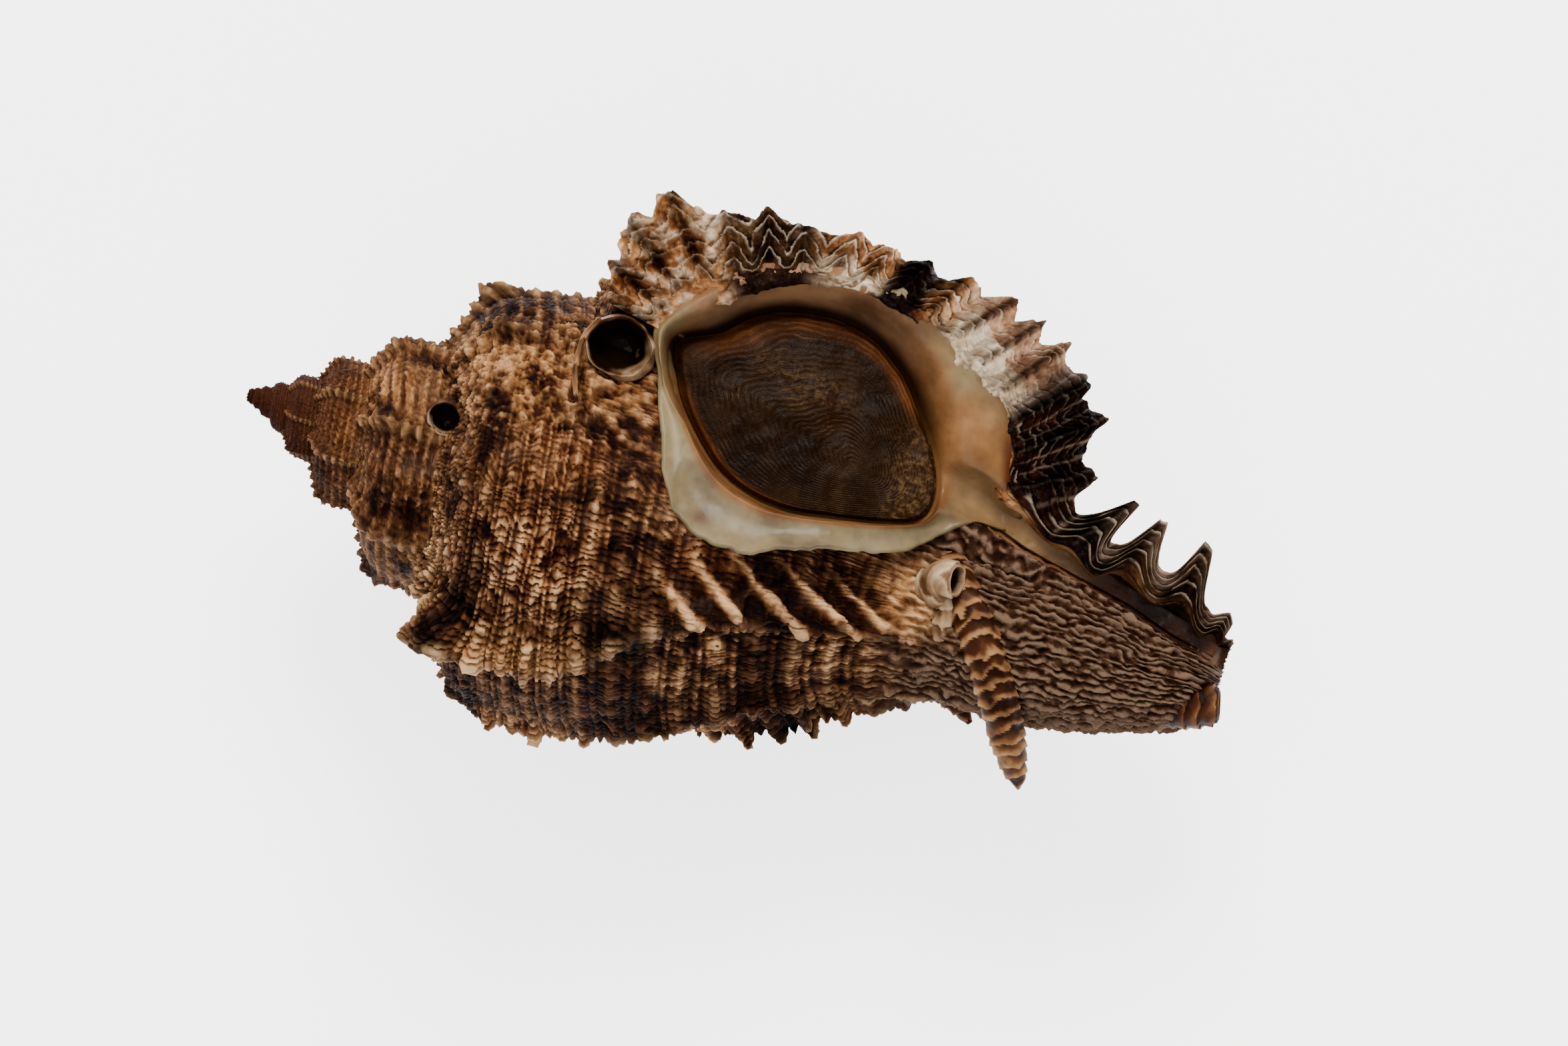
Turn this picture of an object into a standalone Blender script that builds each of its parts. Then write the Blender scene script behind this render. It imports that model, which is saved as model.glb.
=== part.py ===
"""Murex shell with the operculum in its mouth, lying on its back as it would on a table.

The shell grew as one piece: a spiral of whorls round one axis, crossed by ridges of spines
(varices), with a wide mouth, a fluted outer lip and a long canal. The operculum is the horny
lid that closes the mouth, and is a piece of its own.

All shapes are worked out in millimetres in the shell's own frame, with the coiling axis along +X
from the apex, the mouth facing +Z and the outer lip on the +Y side, and then placed on the ground.
"""

import math

import bmesh
import bpy
import numpy as np

MM = 0.001

# Where the axis's apex end lies in the row frame, in metres: the origin is the box's bottom centre
APEX_AT = (-0.05023, -0.00419, 0.0265)

# Growth: each turn is this many times larger than the turn before
TURN_RATIO = 1.70
LIP_ANGLE = 384.0
COLUMN_STEP = 6.0
FIRST_ANGLE = 24.0 - 4 * 360.0

# Outline of one whorl in the half plane through the axis, (along the axis, radius), from the
# suture over the shoulder and down the base to the canal's end
WHORL = (
    (29.0, 16.8), (31.0, 21.2), (33.2, 25.6), (35.6, 28.0), (40.0, 29.2), (45.0, 29.3),
    (49.3, 28.6), (54.0, 26.6), (58.0, 23.2), (62.5, 17.2), (66.5, 11.8), (70.5, 9.0),
    (76.0, 8.6), (82.0, 8.4), (88.0, 7.2), (94.0, 5.3), (99.0, 3.0),
)
# The same outline's base where the last whorl flares out to the lip
FLARED_BASE = (
    (51.1, 29.6), (55.5, 29.5), (60.0, 28.2), (65.0, 25.2), (69.3, 21.4), (72.3, 15.6),
    (76.5, 10.8), (82.0, 8.6), (88.0, 7.2), (94.0, 5.3), (99.0, 3.0),
)
SUTURE_ROW = 6
NECK_FROM, NECK_TO = 49.3, 74.0
FLARE_FROM = 290.0

# Varices of the last turn: (crest angle, ridge height, frond height, shoulder frond's lean and rise)
VARICES = (
    (342.0, 1.2, 0.9, 0.6, 1.0), (300.0, 2.8, 1.4, 0.4, 1.4), (240.0, 5.4, 1.4, 0.4, 0.8),
    (192.0, 2.0, 1.2, -2.6, 0.4), (144.0, 1.5, 1.9, 3.3, 3.0), (96.0, 0.7, 0.3, 0.0, 0.4),
    (42.0, 0.8, 0.4, 0.8, 0.8),
)
SPIRE_VARIX = (-6.0, 54.0, 2.0, 0.9, 0.8, 0.8)
SHOULDER_ROW = 3
RISE_DEG, FALL_DEG = 15.0, 8.0
BASE_SWEEP_DEG = 27.0

# The mouth, seen from above: each outline is given by a few (x, y) points
MOUTH_CENTRE = (53.0, 13.5)
RIM = (
    (36.6, 16.4), (38.8, 10.7), (40.9, 4.9), (44.0, 0.8), (49.8, -0.4), (54.0, 1.3), (58.5, 2.6),
    (64.4, 4.1), (68.0, 6.9), (71.5, 9.6), (73.5, 13.5), (72.5, 17.0), (70.5, 20.9), (65.0, 24.4),
    (60.5, 27.0), (56.3, 28.3), (49.1, 28.0), (43.4, 26.0), (39.0, 22.5), (36.5, 19.0),
)
LID = (
    (38.5, 17.0), (42.1, 19.3), (44.6, 21.7), (47.4, 23.1), (51.9, 23.9), (56.2, 23.2), (60.2, 20.6),
    (62.8, 17.5), (65.4, 14.0), (66.7, 10.5), (66.0, 7.6), (62.1, 6.2), (57.5, 5.5), (52.8, 5.5),
    (47.5, 7.0), (43.5, 9.7), (40.3, 13.0),
)
MOUTH_SLOPE = -0.19
RIM_HEIGHT, LID_HEIGHT = 17.4, 10.9
LID_THICKNESS, LID_GAP, LID_DOME = 1.5, 0.4, 0.5
MOUTH_SIDES = 28

# The lip's fronds, from the suture to the canal: (foot on the rim (x, y), tip (x, y))
FRONDS = (
    ((38.0, 21.4), (31.2, 27.2)), ((39.6, 23.0), (32.8, 31.4)), ((42.0, 25.0), (38.6, 31.4)),
    ((44.8, 26.6), (42.8, 32.9)), ((47.8, 27.6), (46.9, 32.8)), ((51.2, 28.2), (52.3, 33.2)),
    ((54.4, 28.4), (56.0, 33.0)), ((57.6, 27.9), (60.0, 32.5)), ((60.8, 26.8), (64.0, 31.8)),
    ((63.8, 25.2), (69.0, 31.1)), ((66.8, 23.4), (72.2, 29.8)), ((69.6, 21.4), (75.2, 28.4)),
    ((71.6, 18.9), (78.2, 25.4)), ((72.9, 16.2), (80.4, 22.0)), ((74.0, 13.2), (81.4, 17.2)),
    ((76.6, 10.6), (85.3, 15.8)), ((80.6, 9.2), (88.6, 14.9)), ((86.0, 7.6), (93.5, 14.1)),
    ((92.2, 5.8), (97.6, 8.0)), ((97.0, 4.2), (99.4, 4.9)),
)
VALLEY_SHARE = 0.64
FROND_DROP, FLANGE_THICKNESS = 3.0, 2.4

# The canal: its wall (x, y, z, radius), and its groove (x, y, floor height, half width)
CANAL_WALL = (
    (62.0, 8.0, -1.0, 6.0), (68.0, 9.0, 1.6, 6.2), (74.0, 8.3, 2.4, 5.4), (82.0, 6.6, 1.8, 4.7),
    (90.0, 4.4, 1.0, 3.9), (96.5, 2.9, 0.4, 2.9), (99.6, 2.2, 0.2, 1.7),
)
CANAL_GROOVE = (
    (64.5, 11.6, 8.6, 2.2), (71.0, 11.2, 5.2, 1.9), (77.5, 8.9, 3.4, 1.0), (83.0, 7.5, 2.6, 0.9),
    (88.5, 6.1, 1.8, 0.9), (94.0, 4.6, 0.9, 1.1), (103.0, 3.0, 0.2, 1.4),
)

# Old canal ends and separate spines: routes of (x, y, z, radius)
BANDED_SPINE = (
    (69.5, 4.2, 6.6, 2.2), (73.0, 0.8, 8.0, 2.1), (76.5, -4.0, 7.8, 2.0), (79.4, -8.6, 6.2, 1.8),
    (81.6, -12.0, 4.0, 1.3), (82.8, -14.4, 2.2, 0.5),
)
OTHER_SPINES = (
    ((68.6, 2.6, 4.0, 2.4), (70.0, 3.4, 8.4, 2.3), (71.2, 3.8, 11.4, 1.9)),
    ((68.0, -3.6, -4.0, 2.4), (73.5, -7.6, -4.6, 1.7), (76.9, -10.3, -5.0, 0.5)),
    ((73.0, -4.2, -4.0, 2.4), (76.6, -7.4, -4.4, 1.6), (79.6, -9.4, -4.6, 0.5)),
    ((84.0, -2.2, 0.0, 4.4), (90.0, -2.8, 0.3, 3.4), (96.0, -2.2, 0.8, 2.4), (99.4, -1.4, 1.2, 1.2)),
)
NOTCH_SPINE = ((35.6, 12.6, 6.0, 4.2), (33.8, 14.6, 10.4, 3.7), (33.0, 15.5, 13.4, 3.2))
NOTCH_HOLE = ((34.0, 14.4, 9.2, 1.3), (33.4, 15.1, 11.6, 2.3), (33.0, 15.7, 15.4, 2.6))

# Dorsal fronds that the shell lies on: (angle, along the axis, base radius, tip radius)
RESTING_FRONDS = (
    (240.0, 29.5, 3.6, 2.2), (240.0, 38.0, 3.6, 2.2), (240.0, 47.0, 4.2, 2.2),
    (300.0, 33.0, 3.6, 2.2), (300.0, 42.5, 3.6, 2.2), (300.0, 51.5, 4.2, 2.2),
)
REST_DEPTH = 26.5


def smoothstep(t):
    t = np.clip(t, 0.0, 1.0)
    return t * t * (3.0 - 2.0 * t)


def catmull(points, at, closed=False):
    """Points of a smooth curve through control points, at parameters counted in control points."""
    points = np.asarray(points, float)
    count = len(points)
    at = np.asarray(at, float)
    start = np.floor(at).astype(int)
    if not closed:
        start = np.clip(start, 0, count - 2)
    t = (at - start)[..., None]

    def control(index):
        if closed:
            return points[index % count]
        inside = points[np.clip(index, 0, count - 1)]
        before = 2.0 * points[0] - points[1]
        after = 2.0 * points[-1] - points[-2]
        low = index[..., None] < 0
        high = index[..., None] > count - 1
        return np.where(low, before, np.where(high, after, inside))

    a, b, c, d = (control(start + k) for k in (-1, 0, 1, 2))
    bend = 2.0 * a - 5.0 * b + 4.0 * c - d
    twist = 3.0 * b - a - 3.0 * c + d
    return 0.5 * (2.0 * b + (c - a) * t + bend * t**2 + twist * t**3)


def growth(angle):
    return TURN_RATIO ** ((angle - 360.0) / 360.0)


def whorl_outline(angle, row):
    """(along the axis, radius) of the smooth whorl at a spiral angle and a row of the outline."""
    scale = growth(angle)
    plain = catmull(WHORL, row)
    neck = smoothstep((plain[..., 0] - NECK_FROM) / (NECK_TO - NECK_FROM))
    point = plain * (scale + (1.0 - scale) * neck)[..., None]
    flared = catmull(FLARED_BASE, np.maximum(row - SUTURE_ROW, 0.0))
    share = smoothstep((angle - FLARE_FROM) / (LIP_ANGLE - FLARE_FROM)) * smoothstep(row - SUTURE_ROW)
    return point + (flared - point) * share[..., None]


def all_varices():
    """Every varix from the lip back up the spire, as in VARICES."""
    found = list(VARICES)
    angle, spacing, *shape = SPIRE_VARIX
    while angle > FIRST_ANGLE:
        found.append((angle, *shape))
        angle -= spacing
    return found


def whorl_point(angle, row):
    """Points on the shell's outside at one spiral angle, varices included."""
    outline = whorl_outline(angle, row)
    along = whorl_outline(angle, row + 0.05) - whorl_outline(angle, row - 0.05)
    along /= np.linalg.norm(along, axis=-1, keepdims=True)
    outward = np.stack([-along[..., 1], along[..., 0]], axis=-1)
    sweep = BASE_SWEEP_DEG * smoothstep((row - 6.5) / 5.0)
    fade = 1.0 - smoothstep((row - 9.6) / 2.8)
    on_frond = (np.abs(row - np.round(row)) < 0.25) & ((np.round(row) % 2 == 1) | (row > 8.6))
    on_shoulder = np.abs(row - SHOULDER_ROW) < 0.5
    lift = np.zeros_like(row)
    lean = np.zeros_like(row)
    for crest, ridge, frond, back, rise in all_varices():
        ahead = angle - (crest - sweep)
        before = smoothstep(1.0 + ahead / RISE_DEG)
        after = smoothstep(1.0 - ahead / FALL_DEG)
        shape = np.where(ahead < 0.0, before, after)
        lift += shape * (ridge + frond * on_frond + rise * on_shoulder) * fade
        lean += shape * back * on_shoulder
    scale = growth(angle)
    lifted = outline + outward * (lift * scale)[..., None]
    turn = math.radians(angle)
    x = lifted[..., 0] - lean * scale
    radius = lifted[..., 1]
    return np.stack([x, radius * math.cos(turn), radius * math.sin(turn)], axis=-1)


def rim_height(x, y):
    """Height of the mouth's rim over the axis, at a place seen from above."""
    height = RIM_HEIGHT + MOUTH_SLOPE * y - 0.25 * max(0.0, 42.0 - x)
    height -= 0.5 * max(0.0, min(x, 76.0) - 60.0) + 0.22 * max(0.0, x - 76.0)
    inner_side = float(smoothstep((12.0 - y) / 6.0))
    return height - 0.35 * inner_side * min(max(0.0, x - 58.0), 14.0)


def lid_height(y):
    return LID_HEIGHT + MOUTH_SLOPE * y


def new_object(name, points, faces):
    """A closed mesh object from points in millimetres in the shell's frame."""
    placed = np.asarray(points, float) * MM + np.array(APEX_AT)
    mesh = bpy.data.meshes.new(name)
    mesh.from_pydata(placed.tolist(), [], faces)
    shape = bmesh.new()
    shape.from_mesh(mesh)
    bmesh.ops.triangulate(shape, faces=shape.faces)
    bmesh.ops.recalc_face_normals(shape, faces=shape.faces)
    shape.to_mesh(mesh)
    shape.free()
    made = bpy.data.objects.new(name, mesh)
    bpy.context.scene.collection.objects.link(made)
    return made


def combine(target, tool, operation):
    """Joins or cuts target with tool, and removes the tool."""
    tool.hide_render = True
    tool.display_type = "WIRE"
    boolean = target.modifiers.new(tool.name, "BOOLEAN")
    boolean.operation = operation
    boolean.solver = "EXACT"
    boolean.object = tool
    graph = bpy.context.evaluated_depsgraph_get()
    result = bpy.data.meshes.new_from_object(target.evaluated_get(graph))
    target.modifiers.clear()
    target.data = result
    bpy.data.objects.remove(tool)


def loft(name, rings):
    """A closed solid through rings of equal length, with a flat cap at each end."""
    size = len(rings[0])
    points = [point for ring in rings for point in ring]
    faces = []
    for k in range(len(rings) - 1):
        for i in range(size):
            j = (i + 1) % size
            faces.append((k * size + i, k * size + j, (k + 1) * size + j, (k + 1) * size + i))
    faces.append(tuple(range(size)))
    faces.append(tuple(range((len(rings) - 1) * size, len(rings) * size)))
    return new_object(name, points, faces)


def tube(name, route, sides=8, per_span=2):
    """A closed round bar along a smooth route of (x, y, z, radius)."""
    count = (len(route) - 1) * per_span + 1
    course = catmull(route, np.linspace(0.0, len(route) - 1.0, count))
    centre, radius = course[:, :3], course[:, 3]
    heading = np.gradient(centre, axis=0)
    heading /= np.linalg.norm(heading, axis=1, keepdims=True)
    side = np.cross(heading, (0.2, 0.1, 1.0))
    side /= np.linalg.norm(side, axis=1, keepdims=True)
    up = np.cross(side, heading)
    rings = []
    for c, r, s, u in zip(centre, radius, side, up):
        turns = [math.tau * k / sides for k in range(sides)]
        rings.append([c + r * (math.cos(a) * s + math.sin(a) * u) for a in turns])
    return loft(name, rings)


def spiral_body():
    """The whorls as one closed solid, wound round the axis and closed across the last step."""
    per_turn = round(360.0 / COLUMN_STEP)
    upper_rows = [float(k) for k in range(SUTURE_ROW + 1)]
    lower_rows = [SUTURE_ROW + 0.5 * k for k in range(1, 2 * (len(WHORL) - 1 - SUTURE_ROW) + 1)]
    columns = round((LIP_ANGLE - FIRST_ANGLE) / COLUMN_STEP) + 1
    last_turn = columns - 1 - per_turn
    last_row = SUTURE_ROW + len(lower_rows)
    apex, tip = 0, 1
    points = [(0.5, 0.0, 0.0), (WHORL[-1][0] + 0.8, 0.0, 0.0)]
    index = {}
    for column in range(columns):
        rows = upper_rows + (lower_rows if column >= last_turn else [])
        placed = whorl_point(FIRST_ANGLE + column * COLUMN_STEP, np.array(rows))
        # each turn starts on the suture row of the turn before, and the first on the apex
        index[column, 0] = index[column - per_turn, SUTURE_ROW] if column >= per_turn else apex
        for number in range(1, len(rows)):
            index[column, number] = len(points)
            points.append(tuple(placed[number]))
    faces = []
    for column in range(columns - 1):
        for number in range(last_row if column >= last_turn else SUTURE_ROW):
            near = (index[column, number], index[column, number + 1])
            far = (index[column + 1, number + 1], index[column + 1, number])
            faces.append(tuple(dict.fromkeys(near + far)))
    for column in range(last_turn, columns - 1):
        faces.append((index[column, last_row], tip, index[column + 1, last_row]))
    faces.append(tuple(index[0, number] for number in range(SUTURE_ROW + 1)))
    # the flat step between the whorl's end at the lip and the turn inside it
    step = [index[columns - 1, number] for number in range(last_row + 1)] + [tip]
    step += [index[last_turn, number] for number in range(last_row, SUTURE_ROW, -1)]
    faces.append(tuple(step))
    return new_object("shell", points, faces)


def directions():
    return np.linspace(0.0, math.tau, MOUTH_SIDES, endpoint=False)


def reach(outline):
    """Distance from the mouth's centre to a closed outline, in each direction round it."""
    dense = catmull(outline, np.linspace(0.0, len(outline), 40 * len(outline)), closed=True)
    offset = dense - np.array(MOUTH_CENTRE)
    turn = np.arctan2(offset[:, 1], offset[:, 0])
    return np.interp(directions(), turn, np.hypot(offset[:, 0], offset[:, 1]), period=math.tau)


def mouth_ring(distance, height):
    """A ring round the mouth at a distance per direction and a height as a function of (x, y)."""
    ring = []
    for turn, far in zip(directions(), distance):
        x = MOUTH_CENTRE[0] + far * math.cos(turn)
        y = MOUTH_CENTRE[1] + far * math.sin(turn)
        ring.append((x, y, height(x, y)))
    return ring


def mouth_surround():
    """The thickened border of the mouth, standing up out of the whorl round it."""
    rim = reach(RIM)
    rings = [
        mouth_ring(rim * 0.50, lambda x, y: rim_height(x, y) - 13.0),
        mouth_ring(rim * 0.80, lambda x, y: rim_height(x, y) - 8.0),
        mouth_ring(rim * 0.96, lambda x, y: rim_height(x, y) - 3.5),
        mouth_ring(rim * 1.00, lambda x, y: rim_height(x, y) - 0.9),
        mouth_ring(rim - 0.7, rim_height),
    ]
    return loft("surround", rings)


def mouth_hollow():
    """The space in front of the lid, the lid's own seat and the chamber behind it."""
    rim, lid = reach(RIM), reach(LID)
    outer_side = smoothstep((np.sin(directions()) + 0.35) / 0.4)
    edge = lid + (rim - lid) * (0.30 + 0.52 * outer_side)
    middle = lid + (edge - lid) * 0.45 + 0.3
    behind = LID_THICKNESS + LID_GAP
    rings = [
        mouth_ring(edge + 0.8, lambda x, y: RIM_HEIGHT + 3.0),
        mouth_ring(edge, rim_height),
        mouth_ring(middle, lambda x, y: 0.65 * lid_height(y) + 0.35 * rim_height(x, y)),
        mouth_ring(lid + LID_GAP, lambda x, y: lid_height(y)),
        mouth_ring(lid + LID_GAP, lambda x, y: lid_height(y) - behind),
        mouth_ring(lid - 1.8, lambda x, y: lid_height(y) - behind - 0.2),
        mouth_ring(lid * 0.70, lambda x, y: lid_height(y) - 6.0),
        mouth_ring(lid * 0.35, lambda x, y: lid_height(y) - 9.5),
    ]
    return loft("hollow", rings)


def lip_flange():
    """The fluted edge of the outer lip: fronds with valleys between, rooted in the whorl."""
    feet = np.array([foot for foot, tip in FRONDS])
    spans = np.array([np.subtract(tip, foot) for foot, tip in FRONDS])
    rings = []
    for k in range(2 * len(FRONDS) - 1):
        peak = k % 2 == 0
        foot = feet[k // 2] if peak else (feet[k // 2] + feet[k // 2 + 1]) / 2.0
        span = spans[k // 2] if peak else VALLEY_SHARE * (spans[k // 2] + spans[k // 2 + 1]) / 2.0
        inward = -span / np.linalg.norm(span)
        z = rim_height(*foot)
        sink = 0.0 if peak else 0.9
        ring = []
        for place, height in (
            (foot - 0.10 * span, z - 0.4),
            (foot + 0.50 * span, z - 0.4 - sink),
            (foot + span, z - FROND_DROP - 0.5 * sink),
            (foot + 0.60 * span, z - FROND_DROP - FLANGE_THICKNESS),
            (foot + 4.0 * inward, z - 9.5),
            (foot + 3.6 * inward, z - 2.8),
        ):
            ring.append((place[0], place[1], height))
        rings.append(ring)
    return loft("flange", rings)


def canal_groove():
    """The narrow open channel from the mouth to the end of the neck."""
    count = 2 * (len(CANAL_GROOVE) - 1) + 1
    course = catmull(CANAL_GROOVE, np.linspace(0.0, len(CANAL_GROOVE) - 1.0, count))
    heading = np.gradient(course[:, :2], axis=0)
    heading /= np.linalg.norm(heading, axis=1, keepdims=True)
    rings = []
    for (x, y, floor, half), (hx, hy) in zip(course, heading):
        ring = []
        for share, height in ((-0.75, floor), (0.75, floor), (1.25, 14.0), (-1.25, 14.0)):
            ring.append((x - hy * half * share, y + hx * half * share, height))
        rings.append(ring)
    return loft("groove", rings)


def resting_frond(number, angle, x, base, tip):
    """A stout frond on the back, long enough to be worn flat where the shell rests."""
    turn = math.radians(angle)
    outward = (math.cos(turn), math.sin(turn))
    far = (REST_DEPTH + 1.6) / abs(outward[1])
    route = []
    for radius, thick in ((17.0, base), (far - 4.0, 0.5 * (base + tip)), (far, tip)):
        route.append((x, radius * outward[0], radius * outward[1], thick))
    return tube(f"rest_{number}", route, per_span=1)


def ground_cut():
    """A block whose top is the plane that the worn fronds rest on."""
    low, high = -REST_DEPTH - 10.0, -REST_DEPTH
    lower = [(-10.0, -50.0, low), (110.0, -50.0, low), (110.0, 50.0, low), (-10.0, 50.0, low)]
    upper = [(x, y, high) for x, y, z in lower]
    return loft("ground", [lower, upper])


def operculum():
    """The lid: a thin horny plate, a little domed, with a rounded edge."""
    lid = reach(LID)
    rings = [
        mouth_ring(lid - 0.7, lambda x, y: lid_height(y) - LID_THICKNESS),
        mouth_ring(lid, lambda x, y: lid_height(y) - 0.6 * LID_THICKNESS),
        mouth_ring(lid - 0.5, lambda x, y: lid_height(y)),
        mouth_ring(lid * 0.62, lambda x, y: lid_height(y) + 0.8 * LID_DOME),
        mouth_ring(lid * 0.25, lambda x, y: lid_height(y) + LID_DOME),
    ]
    return loft("operculum", rings)


def coat(part, name, colour, roughness):
    """Gives a part its material and shades its round faces smoothly."""
    material = bpy.data.materials.new(name)
    material.use_nodes = True
    shader = material.node_tree.nodes["Principled BSDF"]
    shader.inputs["Base Color"].default_value = (*colour, 1.0)
    shader.inputs["Roughness"].default_value = roughness
    shader.inputs["Metallic"].default_value = 0.0
    part.data.materials.clear()
    part.data.materials.append(material)
    part.data.polygons.foreach_set("use_smooth", [True] * len(part.data.polygons))
    part.data.set_sharp_from_angle(angle=math.radians(40.0))


for old in list(bpy.data.objects):
    bpy.data.objects.remove(old)

# Shell: the whorls first, then everything that stands out from them
shell = spiral_body()
combine(shell, tube("canal_wall", CANAL_WALL, sides=12), "UNION")
combine(shell, mouth_surround(), "UNION")
combine(shell, lip_flange(), "UNION")
combine(shell, tube("banded_spine", BANDED_SPINE), "UNION")
combine(shell, tube("notch_spine", NOTCH_SPINE, sides=12), "UNION")
for number, route in enumerate(OTHER_SPINES):
    combine(shell, tube(f"spine_{number}", route), "UNION")
for number, frond in enumerate(RESTING_FRONDS):
    combine(shell, resting_frond(number, *frond), "UNION")

# Hollows and the flats it rests on
combine(shell, mouth_hollow(), "DIFFERENCE")
combine(shell, canal_groove(), "DIFFERENCE")
combine(shell, tube("notch_hole", NOTCH_HOLE, sides=12), "DIFFERENCE")
combine(shell, ground_cut(), "DIFFERENCE")
coat(shell, "shell_calcite", (0.24, 0.13, 0.07), 0.7)

lid = operculum()
coat(lid, "operculum_horn", (0.07, 0.045, 0.03), 0.55)
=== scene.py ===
"""Murex shell lying on its back with its mouth up, closed by a horny operculum.

Everything is worked out in millimetres along the shell's own axes: x from the apex along the coiling
axis, y towards the outer lip and z up out of the mouth. It is moved onto the ground when a mesh is made.
"""

import math

import bpy
import numpy as np
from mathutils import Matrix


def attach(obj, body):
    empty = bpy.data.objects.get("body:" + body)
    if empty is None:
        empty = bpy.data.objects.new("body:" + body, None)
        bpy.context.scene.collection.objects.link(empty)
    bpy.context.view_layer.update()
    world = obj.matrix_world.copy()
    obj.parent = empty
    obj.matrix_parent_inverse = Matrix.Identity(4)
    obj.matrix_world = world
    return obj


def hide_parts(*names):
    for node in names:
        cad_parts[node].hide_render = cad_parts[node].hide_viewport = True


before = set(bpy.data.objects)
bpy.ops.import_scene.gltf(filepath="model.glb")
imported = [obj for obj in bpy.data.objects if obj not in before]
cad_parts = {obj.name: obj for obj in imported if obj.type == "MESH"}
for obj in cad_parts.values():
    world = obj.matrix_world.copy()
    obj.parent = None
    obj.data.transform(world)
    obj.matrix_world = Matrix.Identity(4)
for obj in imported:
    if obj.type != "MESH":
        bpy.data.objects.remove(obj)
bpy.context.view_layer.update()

# Whorls
# The real piece is a tube of aragonite wound round one axis, each turn 1.7 times the one before. The
# animal laid it down at the lip, so cords run round it, growth lines cross them, and old lips stand as varices.
APEX_AT = np.array((-50.23, -4.19, 26.5))
TURN_RATIO = 1.70
LIP_ANGLE = 384.0
WHORL = (
    (29.0, 16.8), (31.0, 21.2), (33.2, 25.6), (35.6, 28.0), (40.0, 29.2), (45.0, 29.3),
    (49.3, 28.6), (54.0, 26.6), (58.0, 23.2), (62.5, 17.2), (66.5, 11.8), (70.5, 9.0),
    (76.0, 8.6), (82.0, 8.4), (88.0, 7.2), (94.0, 5.3), (99.0, 3.0),
)
FLARED_BASE = (
    (51.1, 29.6), (55.5, 29.5), (60.0, 28.2), (65.0, 25.2), (69.3, 21.4), (72.3, 15.6),
    (76.5, 10.8), (82.0, 8.6), (88.0, 7.2), (94.0, 5.3), (99.0, 3.0),
)
CANAL_WALL = (
    (62.0, 8.0, -1.0, 6.0), (68.0, 9.0, 1.6, 6.2), (74.0, 8.3, 2.4, 5.4), (82.0, 6.6, 1.8, 4.7),
    (90.0, 4.4, 1.0, 3.9), (96.5, 2.9, 0.4, 2.9), (99.6, 2.2, 0.2, 1.7),
)
# crest angle, ridge height, frond height, shoulder frond's lean and rise
VARICES = [
    (342.0, 1.2, 0.9, 0.6, 1.0), (300.0, 2.8, 1.6, 0.4, 1.4), (240.0, 5.4, 1.6, 0.4, 0.8),
    (192.0, 2.0, 1.2, -2.6, 0.4), (144.0, 1.5, 1.9, 3.3, 3.0), (96.0, 0.7, 0.3, 0.0, 0.4),
    (42.0, 0.8, 0.4, 0.8, 0.8),
]
VARICES += [(-6.0, 2.0, 0.55, 3.0, 0.7)] + [(-60.0 - 54.0 * k, 2.0, 0.55, 0.8, 0.8) for k in range(19)]
RISE_DEG, FALL_DEG = 16.0, 6.0
CORD_SPACING = 3.0
GROWTH_LINE_DEG = 2.1


def smoothstep(t):
    t = np.clip(t, 0.0, 1.0)
    return t * t * (3.0 - 2.0 * t)


def catmull(points, at, closed=False):
    """A smooth curve through control points, at parameters counted in control points."""
    points = np.asarray(points, float)
    count = len(points)
    at = np.asarray(at, float)
    start = np.floor(at).astype(int)
    if closed:
        padded = points
    else:
        start = np.clip(start, 0, count - 2)
        padded = np.concatenate([points, [2 * points[-1] - points[-2]], [2 * points[0] - points[1]]])
    t = (at - start)[..., None]
    a, b, c, d = (padded[(start + k) % len(padded)] for k in (-1, 0, 1, 2))
    bend = 2.0 * a - 5.0 * b + 4.0 * c - d
    twist = 3.0 * b - a - 3.0 * c + d
    return 0.5 * (2.0 * b + (c - a) * t + bend * t**2 + twist * t**3)


def noise(u, v, seed, octaves=3):
    """Soft random hills between -1 and 1 over two coordinates, the same on every run."""
    total = np.zeros(np.broadcast(u, v).shape)
    size = 1.0
    for octave in range(octaves):
        table = np.random.default_rng(seed + octave).uniform(-1.0, 1.0, (128, 128))
        x, y = np.asarray(u) / size, np.asarray(v) / size
        i, j = np.floor(x).astype(int), np.floor(y).astype(int)
        fx, fy = smoothstep(x - i), smoothstep(y - j)
        low = table[i % 128, j % 128] * (1 - fx) + table[(i + 1) % 128, j % 128] * fx
        high = table[i % 128, (j + 1) % 128] * (1 - fx) + table[(i + 1) % 128, (j + 1) % 128] * fx
        total += size * (low * (1 - fy) + high * fy)
        size *= 0.5
    return total / 1.6


def growth(angle):
    return TURN_RATIO ** ((angle - 360.0) / 360.0)


def whorl_outline(angle, row):
    """(along the axis, radius) of the smooth whorl at spiral angles and rows of the outline."""
    scale = growth(angle)
    plain = catmull(WHORL, row)
    neck = smoothstep((plain[..., 0] - 49.3) / 24.7)
    point = plain * (scale + (1.0 - scale) * neck)[..., None]
    flared = catmull(FLARED_BASE, np.maximum(row - 6.0, 0.0))
    share = smoothstep((angle - 290.0) / 94.0) * smoothstep(row - 6.0)
    return point + (flared - point) * share[..., None]


row_samples = np.linspace(0.0, 16.0, 1601)
outline_samples = catmull(WHORL, row_samples)
run_samples = np.concatenate([[0.0], np.cumsum(np.hypot(*np.diff(outline_samples, axis=0).T))])
OUTLINE_LENGTH = run_samples[-1]


def row_at(run):
    """The outline's row at a distance from the suture, measured along the full-size outline."""
    return np.interp(run, run_samples, row_samples)


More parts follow.
